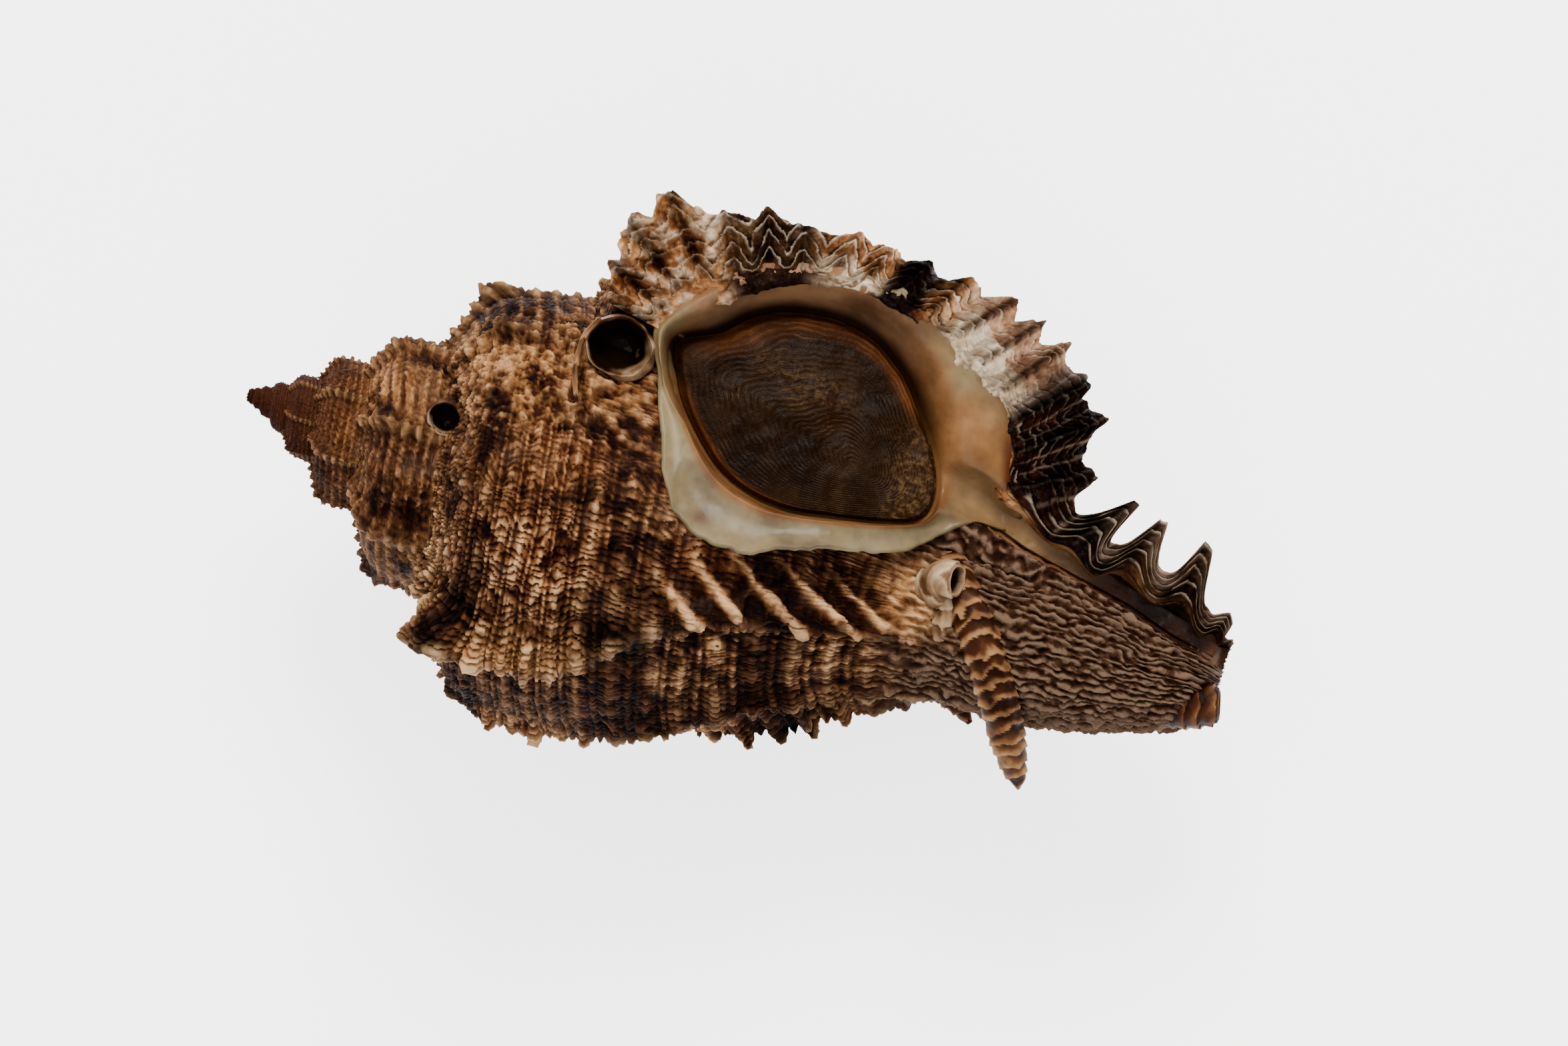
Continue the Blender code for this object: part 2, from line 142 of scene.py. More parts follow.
def cord_wave(run, angle):
    """(main cords, thin cords, threads) from 0 to 1: the shell's spiral relief."""
    wander = run + 0.42 * noise(run * 0.22, angle * 0.05, 11, 3)
    turn = 2.0 * np.pi * wander / CORD_SPACING
    main = 0.5 + 0.5 * np.cos(turn)
    thin = 0.5 + 0.5 * np.cos(2.0 * turn)
    thread = 0.5 + 0.5 * np.cos(4.0 * turn + 0.8 * noise(run * 0.9, angle * 0.2, 12, 1))
    return main, thin, thread


def growth_wave(run, angle):
    """Overlapping growth scales: rising from 0 to 1 and dropping at each scale's edge."""
    main = cord_wave(run, angle)[0]
    phase = angle / GROWTH_LINE_DEG + 0.30 * main + 1.9 * noise(run * 0.30, angle * 0.14, 13, 5)
    return phase - np.floor(phase)


def near_varix(run, angle):
    """(outward lift, lean towards the apex, share of crest, share of slope before a crest)."""
    row = row_at(run)
    sweep = 30.0 * smoothstep((row - 5.6) / 3.4) + 1.6 * noise(run * 0.3, angle * 0.01, 14, 3)
    fade = 1.0 - smoothstep((row - 10.2) / 2.4)
    main, thin, thread = cord_wave(run, angle)
    strong = 0.52 + 0.95 * noise(run * 0.8, angle * 0.006, 15, 2)
    frond = (0.55 * main**1.5 + 0.25 * thin + 0.15 * thread) * np.clip(strong, 0.1, 1.2)
    shoulder = np.exp(-(((row - 3.0) / 0.75) ** 2))
    lift = np.zeros_like(row)
    lean = np.zeros_like(row)
    crest_share = np.zeros_like(row)
    slope_share = np.zeros_like(row)
    for crest, ridge, tall, back, rise in VARICES:
        ahead = angle - (crest - sweep)
        near = (ahead > -40.0) & (ahead < 12.0)
        if not near.any():
            continue
        before = smoothstep(1.0 + ahead / RISE_DEG) ** 1.25
        after = smoothstep(1.0 - ahead / FALL_DEG)
        shape = np.where(ahead < 0.0, before, after) * near
        lift += shape * (ridge * (0.80 + 0.25 * frond) + 1.1 * tall * frond + rise * shoulder) * fade
        lean += shape**1.5 * back * shoulder
        strength = min(1.0, 0.35 + 0.35 * ridge)
        crest_share += strength * fade * np.where(ahead < 0.0, smoothstep(1.0 + ahead / 5.0), after) * near
        slope_share += strength * fade * np.where(ahead < 0.0, smoothstep(1.0 + ahead / 32.0), after) * near
    return lift, lean, crest_share, slope_share


def with_canal_wall(x, angle, radius):
    """Swells the neck round the canal, which runs beside the axis and not on it."""
    course = np.array(CANAL_WALL)
    y, z, wide = (np.interp(x, course[:, 0], course[:, k]) for k in (1, 2, 3))
    turn = np.radians(angle)
    along = y * np.cos(turn) + z * np.sin(turn)
    inside = wide**2 - (y**2 + z**2 - along**2)
    reach = along + np.sqrt(np.maximum(inside, 0.0)) * (inside > 0.0)
    reach = np.where((inside > 0.0) & (x > 62.0), reach, 0.0)
    return np.logaddexp(radius * 1.6, reach * 1.6) / 1.6


def grid_normals(points):
    """Outward unit normals of a grid of points, from its two directions."""
    across = np.cross(np.gradient(points, axis=1), np.gradient(points, axis=0))
    return across / np.maximum(np.linalg.norm(across, axis=-1, keepdims=True), 1e-9)


def whorl_surface(angle, run):
    """Points on the shell's outside, and the values that colour them: height for wear and painted shade in the grooves,
    bands with painted shade, pale crests and the neck.
    """
    row = row_at(run)
    outline = whorl_outline(angle, row)
    ahead = whorl_outline(angle, row + 0.05) - whorl_outline(angle, row - 0.05)
    ahead /= np.linalg.norm(ahead, axis=-1, keepdims=True)
    outward = np.stack([-ahead[..., 1], ahead[..., 0]], axis=-1)
    lift, lean, crest, slope = near_varix(run, angle)
    scale = growth(angle)
    # the shoulder stays high up to the lip
    lift = lift + 2.2 * np.exp(-(((outline[..., 0] - 28.2) / 2.0) ** 2)) * smoothstep(1.0 - np.abs(angle + 2.0) / 26.0)
    lifted = outline + outward * (lift * scale)[..., None]
    x, radius = lifted[..., 0] - lean * scale, lifted[..., 1]
    radius = with_canal_wall(x, angle, radius)
    x = x - 1.2 * np.exp(-np.maximum(x, 0.0) / 6.0)
    # crests curl back against the growth, as old lips do
    turn = np.radians(angle - 2.2 * crest * lift / 4.0)
    points = np.stack([x, radius * np.cos(turn), radius * np.sin(turn)], axis=-1)

    # spiral cords, growth scales and beads, as relief along the normal
    arc = np.radians(angle) * 20.0
    main, thin, thread = cord_wave(run, angle)
    large = smoothstep((scale - 0.30) / 0.32)
    scales = large * growth_wave(run, angle) + (1.0 - large) * growth_wave(run, angle / 2.6)
    neck = smoothstep((x - 62.0) / 8.0)
    coarse = noise(arc * 0.16, run * 0.22, 21, 3)
    gritty = noise(arc * 1.1, run * 1.3, 22, 2)
    cords = large * (0.36 * main + 0.34 * thin + 0.30 * thread) + (1.0 - large) * (0.75 * main + 0.25 * thin)
    cords = 1.0 - (1.0 - cords) ** 2.2
    beads = (1.0 - (1.0 - scales) ** 2.2) * (0.78 + 0.30 * noise(arc * 0.9, run * 1.1, 28, 2))
    coarser = smoothstep((angle - 84.0) / 36.0) * smoothstep((280.0 - angle) / 60.0)
    strength = 0.95 + 0.40 * coarser + 0.5 * slope
    chaos = noise(arc * 1.25, run * 1.05, 34, 3)
    wrinkled_share = 0.22 + 0.38 * smoothstep((82.0 - angle) / 16.0) * (angle > 20.0)
    woven = (1.0 - wrinkled_share) * cords * (0.45 + 0.55 * beads) + wrinkled_share * np.clip(0.5 + 1.1 * chaos, 0.0, 1.1)
    body = strength * (0.95 * woven + 0.16 * beads - 0.60)
    # pleats of the old lip's fronds, raking back from the mouth to its jagged crest
    raked = 0.90 * np.radians(angle) * 17.0 - 0.74 * x + 0.6 * noise(x * 0.4, arc * 0.3, 29, 2)
    pleat = 0.5 + 0.5 * np.cos(2.0 * np.pi * raked / 3.95)
    on_base = smoothstep((row - 7.2) / 1.4) * (1.0 - smoothstep((row - 11.6) / 1.2))
    ahead = angle - (144.0 - 30.0 * smoothstep((row - 5.6) / 3.4))
    pleated = on_base * smoothstep(1.0 + ahead / 32.0) * (ahead < 3.0)
    pleat = pleat ** (4.6 - 2.2 * smoothstep(1.0 + ahead / 20.0))
    body = body * (1.0 - 0.55 * pleated) + pleated * (1.6 * pleat - 0.7)
    body += 0.45 * coarse + 0.16 * gritty
    # on the neck the growth lines are crowded into wavy rugose ridges that run along the canal
    across = np.radians(angle) * 9.0 + 1.0 * noise(x * 0.22, angle * 0.05, 23, 3)
    ridges = 0.5 + 0.5 * np.cos(2.0 * np.pi * across / 0.85 + 3.4 * noise(x * 0.95, across * 0.9, 24, 3))
    broken = np.clip(0.68 + 0.9 * noise(x * 1.3, across * 1.7, 25, 3), 0.0, 1.2)
    wrinkled = 0.62 * ridges**0.8 * broken + 0.26 * noise(x * 1.9, across * 2.1, 26, 2)
    relief_share = np.clip(scale, 0.12, 1.0) ** 0.62
    relief = body * (1.0 - neck) * relief_share + wrinkled * neck * (x < 99.5)
    relief *= smoothstep(run / 1.2)
    points = points + grid_normals(points) * relief[..., None]
    detail = relief - 0.45 * coarse * (1.0 - neck) * relief_share
    # painted light: the lower side, turned away from the key light, is coloured lighter
    painted_fill_below = 0.08 * smoothstep((-points[..., 1] - 1.0) / 9.0) * (points[..., 2] > 0.0) * (1.0 - neck)
    height = np.clip(0.475 + painted_fill_below + 0.95 * detail / (0.62 + 0.5 * slope), 0.0, 1.0)
    band_and_shade = np.zeros_like(x)
    for centre, half in ((14.0, 2.4), (33.5, 3.2), (45.5, 2.8)):
        edge = half + 0.9 * noise(arc * 0.2, run * 0.2, 27, 2)
        band_and_shade = np.maximum(band_and_shade, 1.0 - smoothstep((np.abs(run - centre) - 0.6 * edge) / (0.6 * edge)))
    below = smoothstep((angle - 98.0) / 30.0)
    # darker between the shoulder's cords: partly its own colour, partly painted shade in the flutes
    fluted = smoothstep((points[..., 1] - 11.4) / 2.6) * smoothstep((x - 17.0) / 2.0) * smoothstep((27.4 - x) / 2.0)
    tan_patch = np.exp(-(((x - 25.0) / 5.5) ** 2 + ((points[..., 1] - 10.5) / 4.0) ** 2)) * (points[..., 2] > 0.0)
    beside_notch = np.exp(-(((x - 34.6) / 2.2) ** 2 + ((points[..., 1] - 10.6) / 1.8) ** 2)) * (points[..., 2] > 0.0)
    tan_patch = tan_patch + 0.9 * beside_notch
    # a strip behind the old lip darkened as painted shade, and its own orange crest above it
    painted_shade_strip = smoothstep((angle - 147.0) / 5.0) * smoothstep((186.0 - angle) / 14.0) * smoothstep((x - 22.0) / 6.0)
    crest_glow = np.exp(-(((angle - 140.0) / 4.5) ** 2)) * smoothstep((x - 24.0) / 4.0) * smoothstep((50.0 - x) / 6.0)
    fan = np.exp(-(((x - 67.2) / 3.2) ** 2 + ((points[..., 1] + 0.4) / 3.4) ** 2)) * (points[..., 2] > 0.0)
    tan_patch = tan_patch + 0.5 * crest_glow + 0.9 * fan
    # a pale patch with dark axial flutes 1.25 mm apart on the spire
    spire_patch = np.exp(-(((x - 13.4) / 3.0) ** 2 + ((points[..., 1] - 4.6) / 2.4) ** 2)) * (points[..., 2] > 0.0)
    flutes = smoothstep((np.cos(2.0 * np.pi * (0.956 * x + 0.292 * points[..., 1]) / 1.25 + 0.8 * chaos) - 0.1) / 0.7)
    tan_patch = tan_patch + 0.8 * spire_patch
    values = {
        "height": height,
        "tan": np.clip(0.75 * pleated * pleat + 1.2 * tan_patch + 0.35 * noise(arc * 0.12, run * 0.15, 30, 3) * tan_patch, 0.0, 1.0),
        "band_and_shade": np.clip(band_and_shade * (0.25 + 0.75 * below) + 0.8 * painted_shade_strip + fluted * (1.6 * (1.0 - main) + 0.25) + 1.1 * spire_patch * flutes, 0.0, 1.0) * (1.0 - neck),
        "pale": np.clip(crest * (0.35 + 0.9 * main) * (lift > 0.8) * (1.0 - 0.7 * on_base), 0.0, 1.0),
        "neck": neck * (1.0 - 0.9 * np.clip(1.3 * fan, 0.0, 1.0)),
        "apex": 1.0 - smoothstep((x - 4.0) / 9.0),
        "growth": scales,
    }
    return points, values


def grid_piece(name, points, values, ends=(), wrap=False):
    """A mesh piece from a grid of points in millimetres, its open edges closed by fans to end points."""
    rows, columns = points.shape[:2]
    flat = points.reshape(-1, 3)
    number = np.arange(rows * columns).reshape(rows, columns)
    if wrap:
        number = np.concatenate([number, number[:, :1]], axis=1)
    quads = np.stack([number[:-1, :-1], number[:-1, 1:], number[1:, 1:], number[1:, :-1]], axis=-1)
    faces = quads.reshape(-1, 4).tolist()
    if wrap:
        loops = [number[0, ::-1], number[-1]]
    else:
        loops = [np.concatenate([number[0, ::-1], number[1:, 0], number[-1, 1:], number[-2::-1, -1]])]
    for end, loop in zip(ends, loops):
        hub = len(flat)
        flat = np.vstack([flat, [end]])
        faces += [(int(a), int(b), hub) for a, b in zip(loop[:-1], loop[1:])]
    mesh = bpy.data.meshes.new(name)
    mesh.from_pydata(((flat + APEX_AT) * 0.001).tolist(), [], faces)
    for key, value in values.items():
        value = np.broadcast_to(value, (rows, columns)).reshape(-1)
        padded = np.concatenate([value, np.full(len(flat) - rows * columns, value[-1])])
        mesh.attributes.new(key, "FLOAT", "POINT").data.foreach_set("value", padded.astype(np.float32))
    mesh.polygons.foreach_set("use_smooth", np.ones(len(mesh.polygons), bool))
    mesh.validate()
    # every face is turned to point out of the piece
    mesh.calc_loop_triangles()
    corners = np.empty(3 * len(mesh.loop_triangles), np.int32)
    mesh.loop_triangles.foreach_get("vertices", corners)
    a, b, c = np.moveaxis((flat - flat.mean(axis=0))[corners.reshape(-1, 3)], 1, 0)
    if (a * np.cross(b, c)).sum() < 0.0:
        mesh.flip_normals()
    piece = bpy.data.objects.new(name, mesh)
    bpy.context.scene.collection.objects.link(piece)
    return piece


# the mouth's rim and the lid's edge, seen from above, as distances round the mouth's centre
MOUTH_CENTRE = np.array((53.0, 13.5))
RIM = (
    (36.6, 16.4), (38.8, 10.7), (40.9, 4.9), (44.0, 0.8), (49.8, -0.4), (54.0, 1.3), (58.5, 2.6),
    (64.4, 4.1), (68.0, 6.9), (71.5, 9.6), (73.5, 13.5), (72.5, 17.0), (70.5, 20.9), (65.0, 24.4),
    (60.5, 27.0), (56.3, 28.3), (49.1, 28.0), (43.4, 26.0), (39.0, 22.5), (36.5, 19.0),
)
LID = (
    (38.5, 17.0), (42.1, 19.3), (44.6, 21.7), (47.4, 23.1), (51.9, 23.9), (56.2, 23.2), (60.2, 20.6),
    (62.8, 17.5), (65.4, 14.0), (66.7, 10.5), (66.0, 7.6), (62.1, 6.2), (57.5, 5.5), (52.8, 5.5),
    (47.5, 7.0), (43.5, 9.7), (40.3, 13.0),
)


def reach(outline, directions):
    """Distance from the mouth's centre to a closed outline, in each direction (radians)."""
    dense = catmull(outline, np.linspace(0.0, len(outline), 60 * len(outline)), closed=True)
    offset = dense - MOUTH_CENTRE
    turn = np.arctan2(offset[:, 1], offset[:, 0])
    return np.interp(directions, turn, np.hypot(offset[:, 0], offset[:, 1]), period=2.0 * np.pi)


def rim_height(x, y):
    height = 17.4 - 0.19 * y - 0.25 * np.maximum(0.0, 42.0 - x)
    height -= 0.5 * np.maximum(0.0, np.minimum(x, 76.0) - 60.0) + 0.22 * np.maximum(0.0, x - 76.0)
    inner_side = smoothstep((12.0 - y) / 6.0)
    return height - 0.35 * inner_side * np.minimum(np.maximum(0.0, x - 58.0), 14.0)


def lid_height(y):
    return 10.9 - 0.19 * y


CANAL_GROOVE = (
    (64.5, 11.6, 8.6, 2.2), (71.0, 11.1, 5.8, 1.9), (77.5, 8.7, 4.4, 1.25), (83.0, 7.4, 3.3, 1.05),
    (88.5, 6.1, 1.8, 0.9), (94.0, 4.6, 0.9, 1.1), (103.0, 3.0, 0.2, 1.4),
)


NOTCH_CENTRE, NOTCH_HALF = np.array((33.1, 15.0)), np.array((3.2, 2.9))
SMALL_NOTCH_CENTRE = np.array((19.0, 3.4))


def groove_at(x):
    """(middle y, floor height, half width) of the canal's groove at places along the axis."""
    course = catmull(CANAL_GROOVE, np.linspace(0.0, 6.0, 200))
    return [np.interp(x, course[:, 0], course[:, k]) for k in (1, 2, 3)]


def sunk_under_mouth(points):
    """Slopes the whorl down to the mouth, and out of sight where other pieces take over."""
    x, y, z = points[..., 0], points[..., 1], points[..., 2]
    offset = points[..., :2] - MOUTH_CENTRE
    direction = np.arctan2(offset[..., 1], offset[..., 0])
    away = np.hypot(offset[..., 0], offset[..., 1])
    rim = reach(RIM, direction)
    # a soft slope, half as steep as the whorl is tall, down to the callus
    allowed = rim_height(x, y) + 0.25 + 0.75 * np.maximum(away - rim, 0.0)
    near = (z > 4.0) & (away < rim + 9.0) & (x < 68.0) & (y < 20.0)
    lowered = allowed - np.logaddexp(0.0, (allowed - z) * 2.5) / 2.5
    z = np.where(near, lowered, z)
    z = np.where((away < rim - 0.25) & (z > 0.0), np.minimum(z, lid_height(y) - 7.0), z)
    below_lip = rim_height(x, y) - 1.3 - 0.5 * np.maximum(away - rim, 0.0)
    beside_lip = (z > 0.0) & (y > 15.0) & (x > 34.0) & (away < rim + 6.5)
    z = np.where(beside_lip, np.minimum(z, np.maximum(below_lip, 0.5)), z)
    middle, floor, half = groove_at(x)
    z = np.where((np.abs(y - middle) < half + 0.25) & (x > 66.0) & (z > 0.0), np.minimum(z, floor - 0.9), z)
    beyond = (y > middle) & (y < middle + half + 4.5) & (x > 68.0) & (z > 0.0)
    z = np.where(beyond, np.minimum(z, rim_height(x, y) - 2.2), z)
    askew = smoothstep((x - 95.8 - 0.45 * (y + 1.5)) / 3.0) * smoothstep(z / 1.5) * (y < 3.0)
    z = z - 3.4 * askew
    for centre, half_size, bottom in ((NOTCH_CENTRE, NOTCH_HALF - 0.2, 4.0), (SMALL_NOTCH_CENTRE, 1.35, 6.0)):
        inside = (((points[..., :2] - centre) / half_size) ** 2).sum(axis=-1) < 1.0
        z = np.where(inside & (z > 0.0), np.minimum(z, bottom), z)
    return np.stack([x, y, z], axis=-1)


def to_linear(code, alpha=1.0):
    """A linear colour from an sRGB hex value."""
    parts = [int(code[k:k + 2], 16) / 255.0 for k in (1, 3, 5)]
    return (*[c / 12.92 if c <= 0.04045 else ((c + 0.055) / 1.055) ** 2.4 for c in parts], alpha)


def add(material, kind, links=(), **settings):
    """Adds a node: settings name its inputs or its own properties, links are (input, output socket)."""
    node = material.node_tree.nodes.new(kind)
    for key, value in settings.items():
        if key in node.inputs:
            node.inputs[key].default_value = value
        elif key.replace("_", " ") in node.inputs:
            node.inputs[key.replace("_", " ")].default_value = value
        else:
            setattr(node, key, value)
    for place, socket in links:
        material.node_tree.links.new(socket, node.inputs[place])
    return node


def ramp(material, factor, stops):
    """A colour ramp over a factor, its stops given as (place, sRGB hex)."""
    node = add(material, "ShaderNodeValToRGB", [(0, factor)])
    elements = node.color_ramp.elements
    while len(elements) < len(stops):
        elements.new(0.5)
    for element, (place, code) in zip(elements, stops):
        element.position = place
        element.color = to_linear(code)
    return node.outputs["Color"]


def blend(material, factor, a, b, how="MIX"):
    """Mixes two colours; each may be a socket or an sRGB hex value."""
    node = add(material, "ShaderNodeMix", data_type="RGBA", blend_type=how)
    for place, value in ((0, factor), (6, a), (7, b)):
        if isinstance(value, str):
            node.inputs[place].default_value = to_linear(value)
        elif isinstance(value, float):
            node.inputs[place].default_value = value
        else:
            material.node_tree.links.new(value, node.inputs[place])
    return node.outputs[2]


def worked(material, operation, a, b=0.5, clamp=False):
    """A Math node on sockets or numbers."""
    node = add(material, "ShaderNodeMath", operation=operation, use_clamp=clamp)
    for place, value in ((0, a), (1, b)):
        if isinstance(value, (int, float)):
            node.inputs[place].default_value = value
        else:
            material.node_tree.links.new(value, node.inputs[place])
    return node.outputs[0]


def new_material(name):
    material = bpy.data.materials.new(name)
    material.use_nodes = True
    return material, material.node_tree.nodes["Principled BSDF"]


def attribute(material, name):
    return add(material, "ShaderNodeAttribute", attribute_name=name).outputs["Fac"]


# Weathered aragonite with dried horny skin in its grooves: light and rubbed on the tops of cords and beads,
# nearly black in the grooves, partly as painted shade, and along three spiral bands, with a low wet-looking gloss.
aragonite, shader = new_material("banded_aragonite")
place = add(aragonite, "ShaderNodeTexCoord").outputs["Object"]
height, band_and_shade, pale, neck, apex, tan = (
    attribute(aragonite, key) for key in ("height", "band_and_shade", "pale", "neck", "apex", "tan")
)
# patches 12 mm and 4 mm across, grain 0.5 mm
patches = add(aragonite, "ShaderNodeTexNoise", [("Vector", place)], Scale=80.0, Detail=4.0, Roughness=0.6)
stains = add(aragonite, "ShaderNodeTexNoise", [("Vector", place)], Scale=260.0, Detail=3.0, Roughness=0.6)
grain = add(aragonite, "ShaderNodeTexNoise", [("Vector", place)], Scale=1900.0, Detail=3.0, Roughness=0.7)
grained = worked(aragonite, "MULTIPLY", worked(aragonite, "SUBTRACT", grain.outputs["Fac"], 0.5), 0.55)
level = worked(aragonite, "ADD", height, grained, clamp=True)
# dark in the grooves and light on the tops: partly its own colour and wear, partly painted shade
worn_and_shaded = ramp(aragonite, level, [
    (0.10, "#130400"), (0.34, "#2a1206"), (0.58, "#4d301b"), (0.80, "#7b5738"), (1.0, "#aa8660"),
])
warm = ramp(aragonite, level, [(0.10, "#1a0701"), (0.36, "#48230d"), (0.62, "#7f5230"), (1.0, "#c0966a")])
warmth = ramp(aragonite, patches.outputs["Fac"], [(0.50, "#000000"), (0.66, "#d0d0d0")])
tone = blend(aragonite, warmth, worn_and_shaded, warm)
sandy = ramp(aragonite, level, [(0.10, "#3a1c0a"), (0.45, "#8a5c34"), (1.0, "#c79a6c")])
tone = blend(aragonite, worked(aragonite, "MULTIPLY", tan, 0.85), tone, sandy)
dusty = ramp(aragonite, stains.outputs["Fac"], [(0.54, "#000000"), (0.70, "#7a7a7a")])
tone = blend(aragonite, dusty, tone, blend(aragonite, 0.5, tone, "#75675b"))
sooty = ramp(aragonite, stains.outputs["Fac"], [(0.36, "#5e4335"), (0.50, "#ffffff")])
tone = blend(aragonite, 1.0, tone, sooty, "MULTIPLY")
rugose = ramp(aragonite, level, [(0.16, "#0b0300"), (0.46, "#1f0d05"), (0.74, "#3a2417"), (1.0, "#604b3b")])
tone = blend(aragonite, neck, tone, rugose)
old = ramp(aragonite, level, [(0.1, "#120602"), (0.5, "#32170b"), (1.0, "#613c29")])
tone = blend(aragonite, apex, tone, old)
darkened = blend(aragonite, 1.0, tone, "#573826", "MULTIPLY")
tone = blend(aragonite, worked(aragonite, "MULTIPLY", band_and_shade, 0.92), tone, darkened)
tips = ramp(aragonite, level, [(0.2, "#3f2413"), (0.6, "#8d6742"), (1.0, "#c9a780")])
tone = blend(aragonite, worked(aragonite, "MULTIPLY", pale, 0.45), tone, tips)
aragonite.node_tree.links.new(tone, shader.inputs["Base Color"])
gloss = ramp(aragonite, grain.outputs["Fac"], [(0.3, "#a8a8a8"), (0.7, "#e0e0e0")])
aragonite.node_tree.links.new(gloss, shader.inputs["Roughness"])
pitted = add(aragonite, "ShaderNodeBump", [("Height", grain.outputs["Fac"])], Strength=0.55, Distance=0.0003)
aragonite.node_tree.links.new(pitted.outputs["Normal"], shader.inputs["Normal"])
shader.inputs["Specular IOR Level"].default_value = 0.025


def whorl_piece(name, angles, run_to, rows, centre, folded=()):
    """One stretch of the spiral over some angles, from the suture down to a run length."""
    angle, run = np.meshgrid(angles, np.linspace(0.0, run_to, rows))
    points, values = whorl_surface(angle, run)
    # behind the lip the wall turns in and runs back, out of sight of the mouth
    for at, depth in folded:
        inner = whorl_outline(np.full(rows, at), row_at(run[:, 0]))
        inner[:, 1] = np.maximum(inner[:, 1] - depth, 0.5)
        turn = math.radians(at)
        column = np.stack([inner[:, 0], inner[:, 1] * math.cos(turn), inner[:, 1] * math.sin(turn)], axis=-1)
        points = np.concatenate([points, column[:, None]], axis=1)
        values = {key: np.concatenate([value, value[:, -1:]], axis=1) for key, value in values.items()}
    points = sunk_under_mouth(points)
    points[..., 2] = np.maximum(points[..., 2], -26.5)
    piece = grid_piece(name, points, values, ends=[centre])
    piece.data.materials.append(aragonite)
    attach(piece, "root")
    return piece


# the last turn down to the end of the neck in four quarters, then the spire down to each next suture
hidden = (40.0, 0.0, -2.0)
last_turn = whorl_piece("whorl_under_mouth", np.linspace(24.0, 114.0, 215), OUTLINE_LENGTH, 440, hidden)
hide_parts("shell")
whorl_piece("whorl_side", np.linspace(114.0, 204.0, 215), OUTLINE_LENGTH, 440, hidden)
whorl_piece("whorl_back", np.linspace(204.0, 294.0, 215), OUTLINE_LENGTH, 440, hidden)
whorl_piece(
    "whorl_behind_lip", np.linspace(294.0, LIP_ANGLE, 215), OUTLINE_LENGTH, 440, (45.0, 0.0, -6.0),
    folded=((382.0, 1.6), (374.0, 3.2), (350.0, 3.6), (330.0, 3.6)),
)
whorl_piece("spire", np.linspace(-1000.0, 24.0, 1180), 27.6, 76, (22.0, 0.0, 0.0))
whorl_piece("apex", np.linspace(-3000.0, -1000.0, 1100), 27.6, 40, (3.2, 0.0, 0.0))

# Mouth
# The smooth glazed border that the animal lays inside its mouth: a raised ivory callus on the inner
# side, and a deep shaded wall on the outer side that ends in the fluted lip. All one with the shell.
around = np.linspace(0.0, 2.0 * np.pi, 560, endpoint=False)
rim_reach = reach(RIM, around)


def lid_margin(directions):
    """Reach of the lid with its thin turned-down margin, wider on the lower left."""
    turned = np.abs((directions - np.radians(228.0) + np.pi) % (2.0 * np.pi) - np.pi)
    return reach(LID, directions) + 1.25 * smoothstep(1.0 - turned / np.radians(95.0))


lid_reach = lid_margin(around)
outer_side = smoothstep((np.sin(around) + 0.35) / 0.4)
wall_share = 0.12 + 0.70 * outer_side


def mouth_height(x, y, t, outer):
    """Height of the glazed wall, t from 0 at the lid's edge to 1 at the rim."""
    share = 0.12 + 0.70 * outer
    low = lid_height(y) - 1.3
    climb = np.sin(0.5 * np.pi * np.clip(t / share, 0.0, 1.0)) ** 0.85
    height = low + (rim_height(x, y) - low) * climb
    past = np.clip((t - share) / (1.0 - share), 0.0, 1.0)
    height += (1.0 - outer) * (0.55 * past**2 - 0.35 * np.sin(np.pi * past))
    height -= outer * 0.5 * past**2
    return height


def groove_floor(x, y):
    """Floor of the canal's groove where it opens into the mouth, and how far inside it a place is."""
    middle, floor, half = groove_at(x)
    across = np.abs(y - middle) / (half * 1.15)
    return floor + 3.2 * np.minimum(across, 2.5) ** 2.5, smoothstep((x - 62.0) / 6.0)


t_wall = np.concatenate([np.linspace(0.0, 1.0, 62)])
t, turn = np.meshgrid(t_wall, around, indexing="ij")
rim, lid, outer = (np.broadcast_to(v, t.shape) for v in (rim_reach, lid_reach, outer_side))
wobble = 0.35 * noise(turn * 9.0, t * 0.6, 31, 3) * smoothstep((t - 0.7) / 0.3)
distance = lid + 0.35 + (rim - lid - 0.35) * t + wobble
x = MOUTH_CENTRE[0] + distance * np.cos(turn)
y = MOUTH_CENTRE[1] + distance * np.sin(turn)
z = mouth_height(x, y, t, outer) + 0.16 * noise(x * 0.3, y * 0.3, 32, 3) * smoothstep(t * 2.0)
carved, inside = groove_floor(x, y)
z = z + (-np.logaddexp(-1.1 * z, -1.1 * carved) / 1.1 - z) * inside
glazed = [np.stack([x, y, z], axis=-1)]
# the rolled edge, then down and back under the whorl; in the canal's opening the glaze runs on instead
edge_x, edge_y, edge_z = x[-1], y[-1], z[-1]
edge_middle, _, edge_half = groove_at(edge_x)
opening = smoothstep((1.15 - np.abs(edge_y - edge_middle) / edge_half) / 0.4) * smoothstep((edge_x - 69.0) / 2.0)
for outward, down, on, dip in (
    (0.25, 0.15, 0.8, 0.03), (0.40, 0.50, 1.6, 0.08), (0.35, 1.0, 2.4, 0.20), (0.0, 1.7, 3.0, 0.7),
    (-1.2, 4.6, -1.2, 4.6), (-2.0, 10.0, -2.0, 10.0),
):
    step = outward + (on - outward) * opening
    far_x, far_y = edge_x + step * np.cos(around), edge_y + step * np.sin(around)
    run_on = (groove_floor(far_x, far_y)[0] - groove_floor(edge_x, edge_y)[0]) * (on > 0.0)
    lower = down + (dip - np.clip(run_on, -2.5, 0.5) - down) * opening
    glazed.append(np.stack([far_x, far_y, edge_z - lower], axis=-1)[None])
below_lid = lid_reach * 0.93
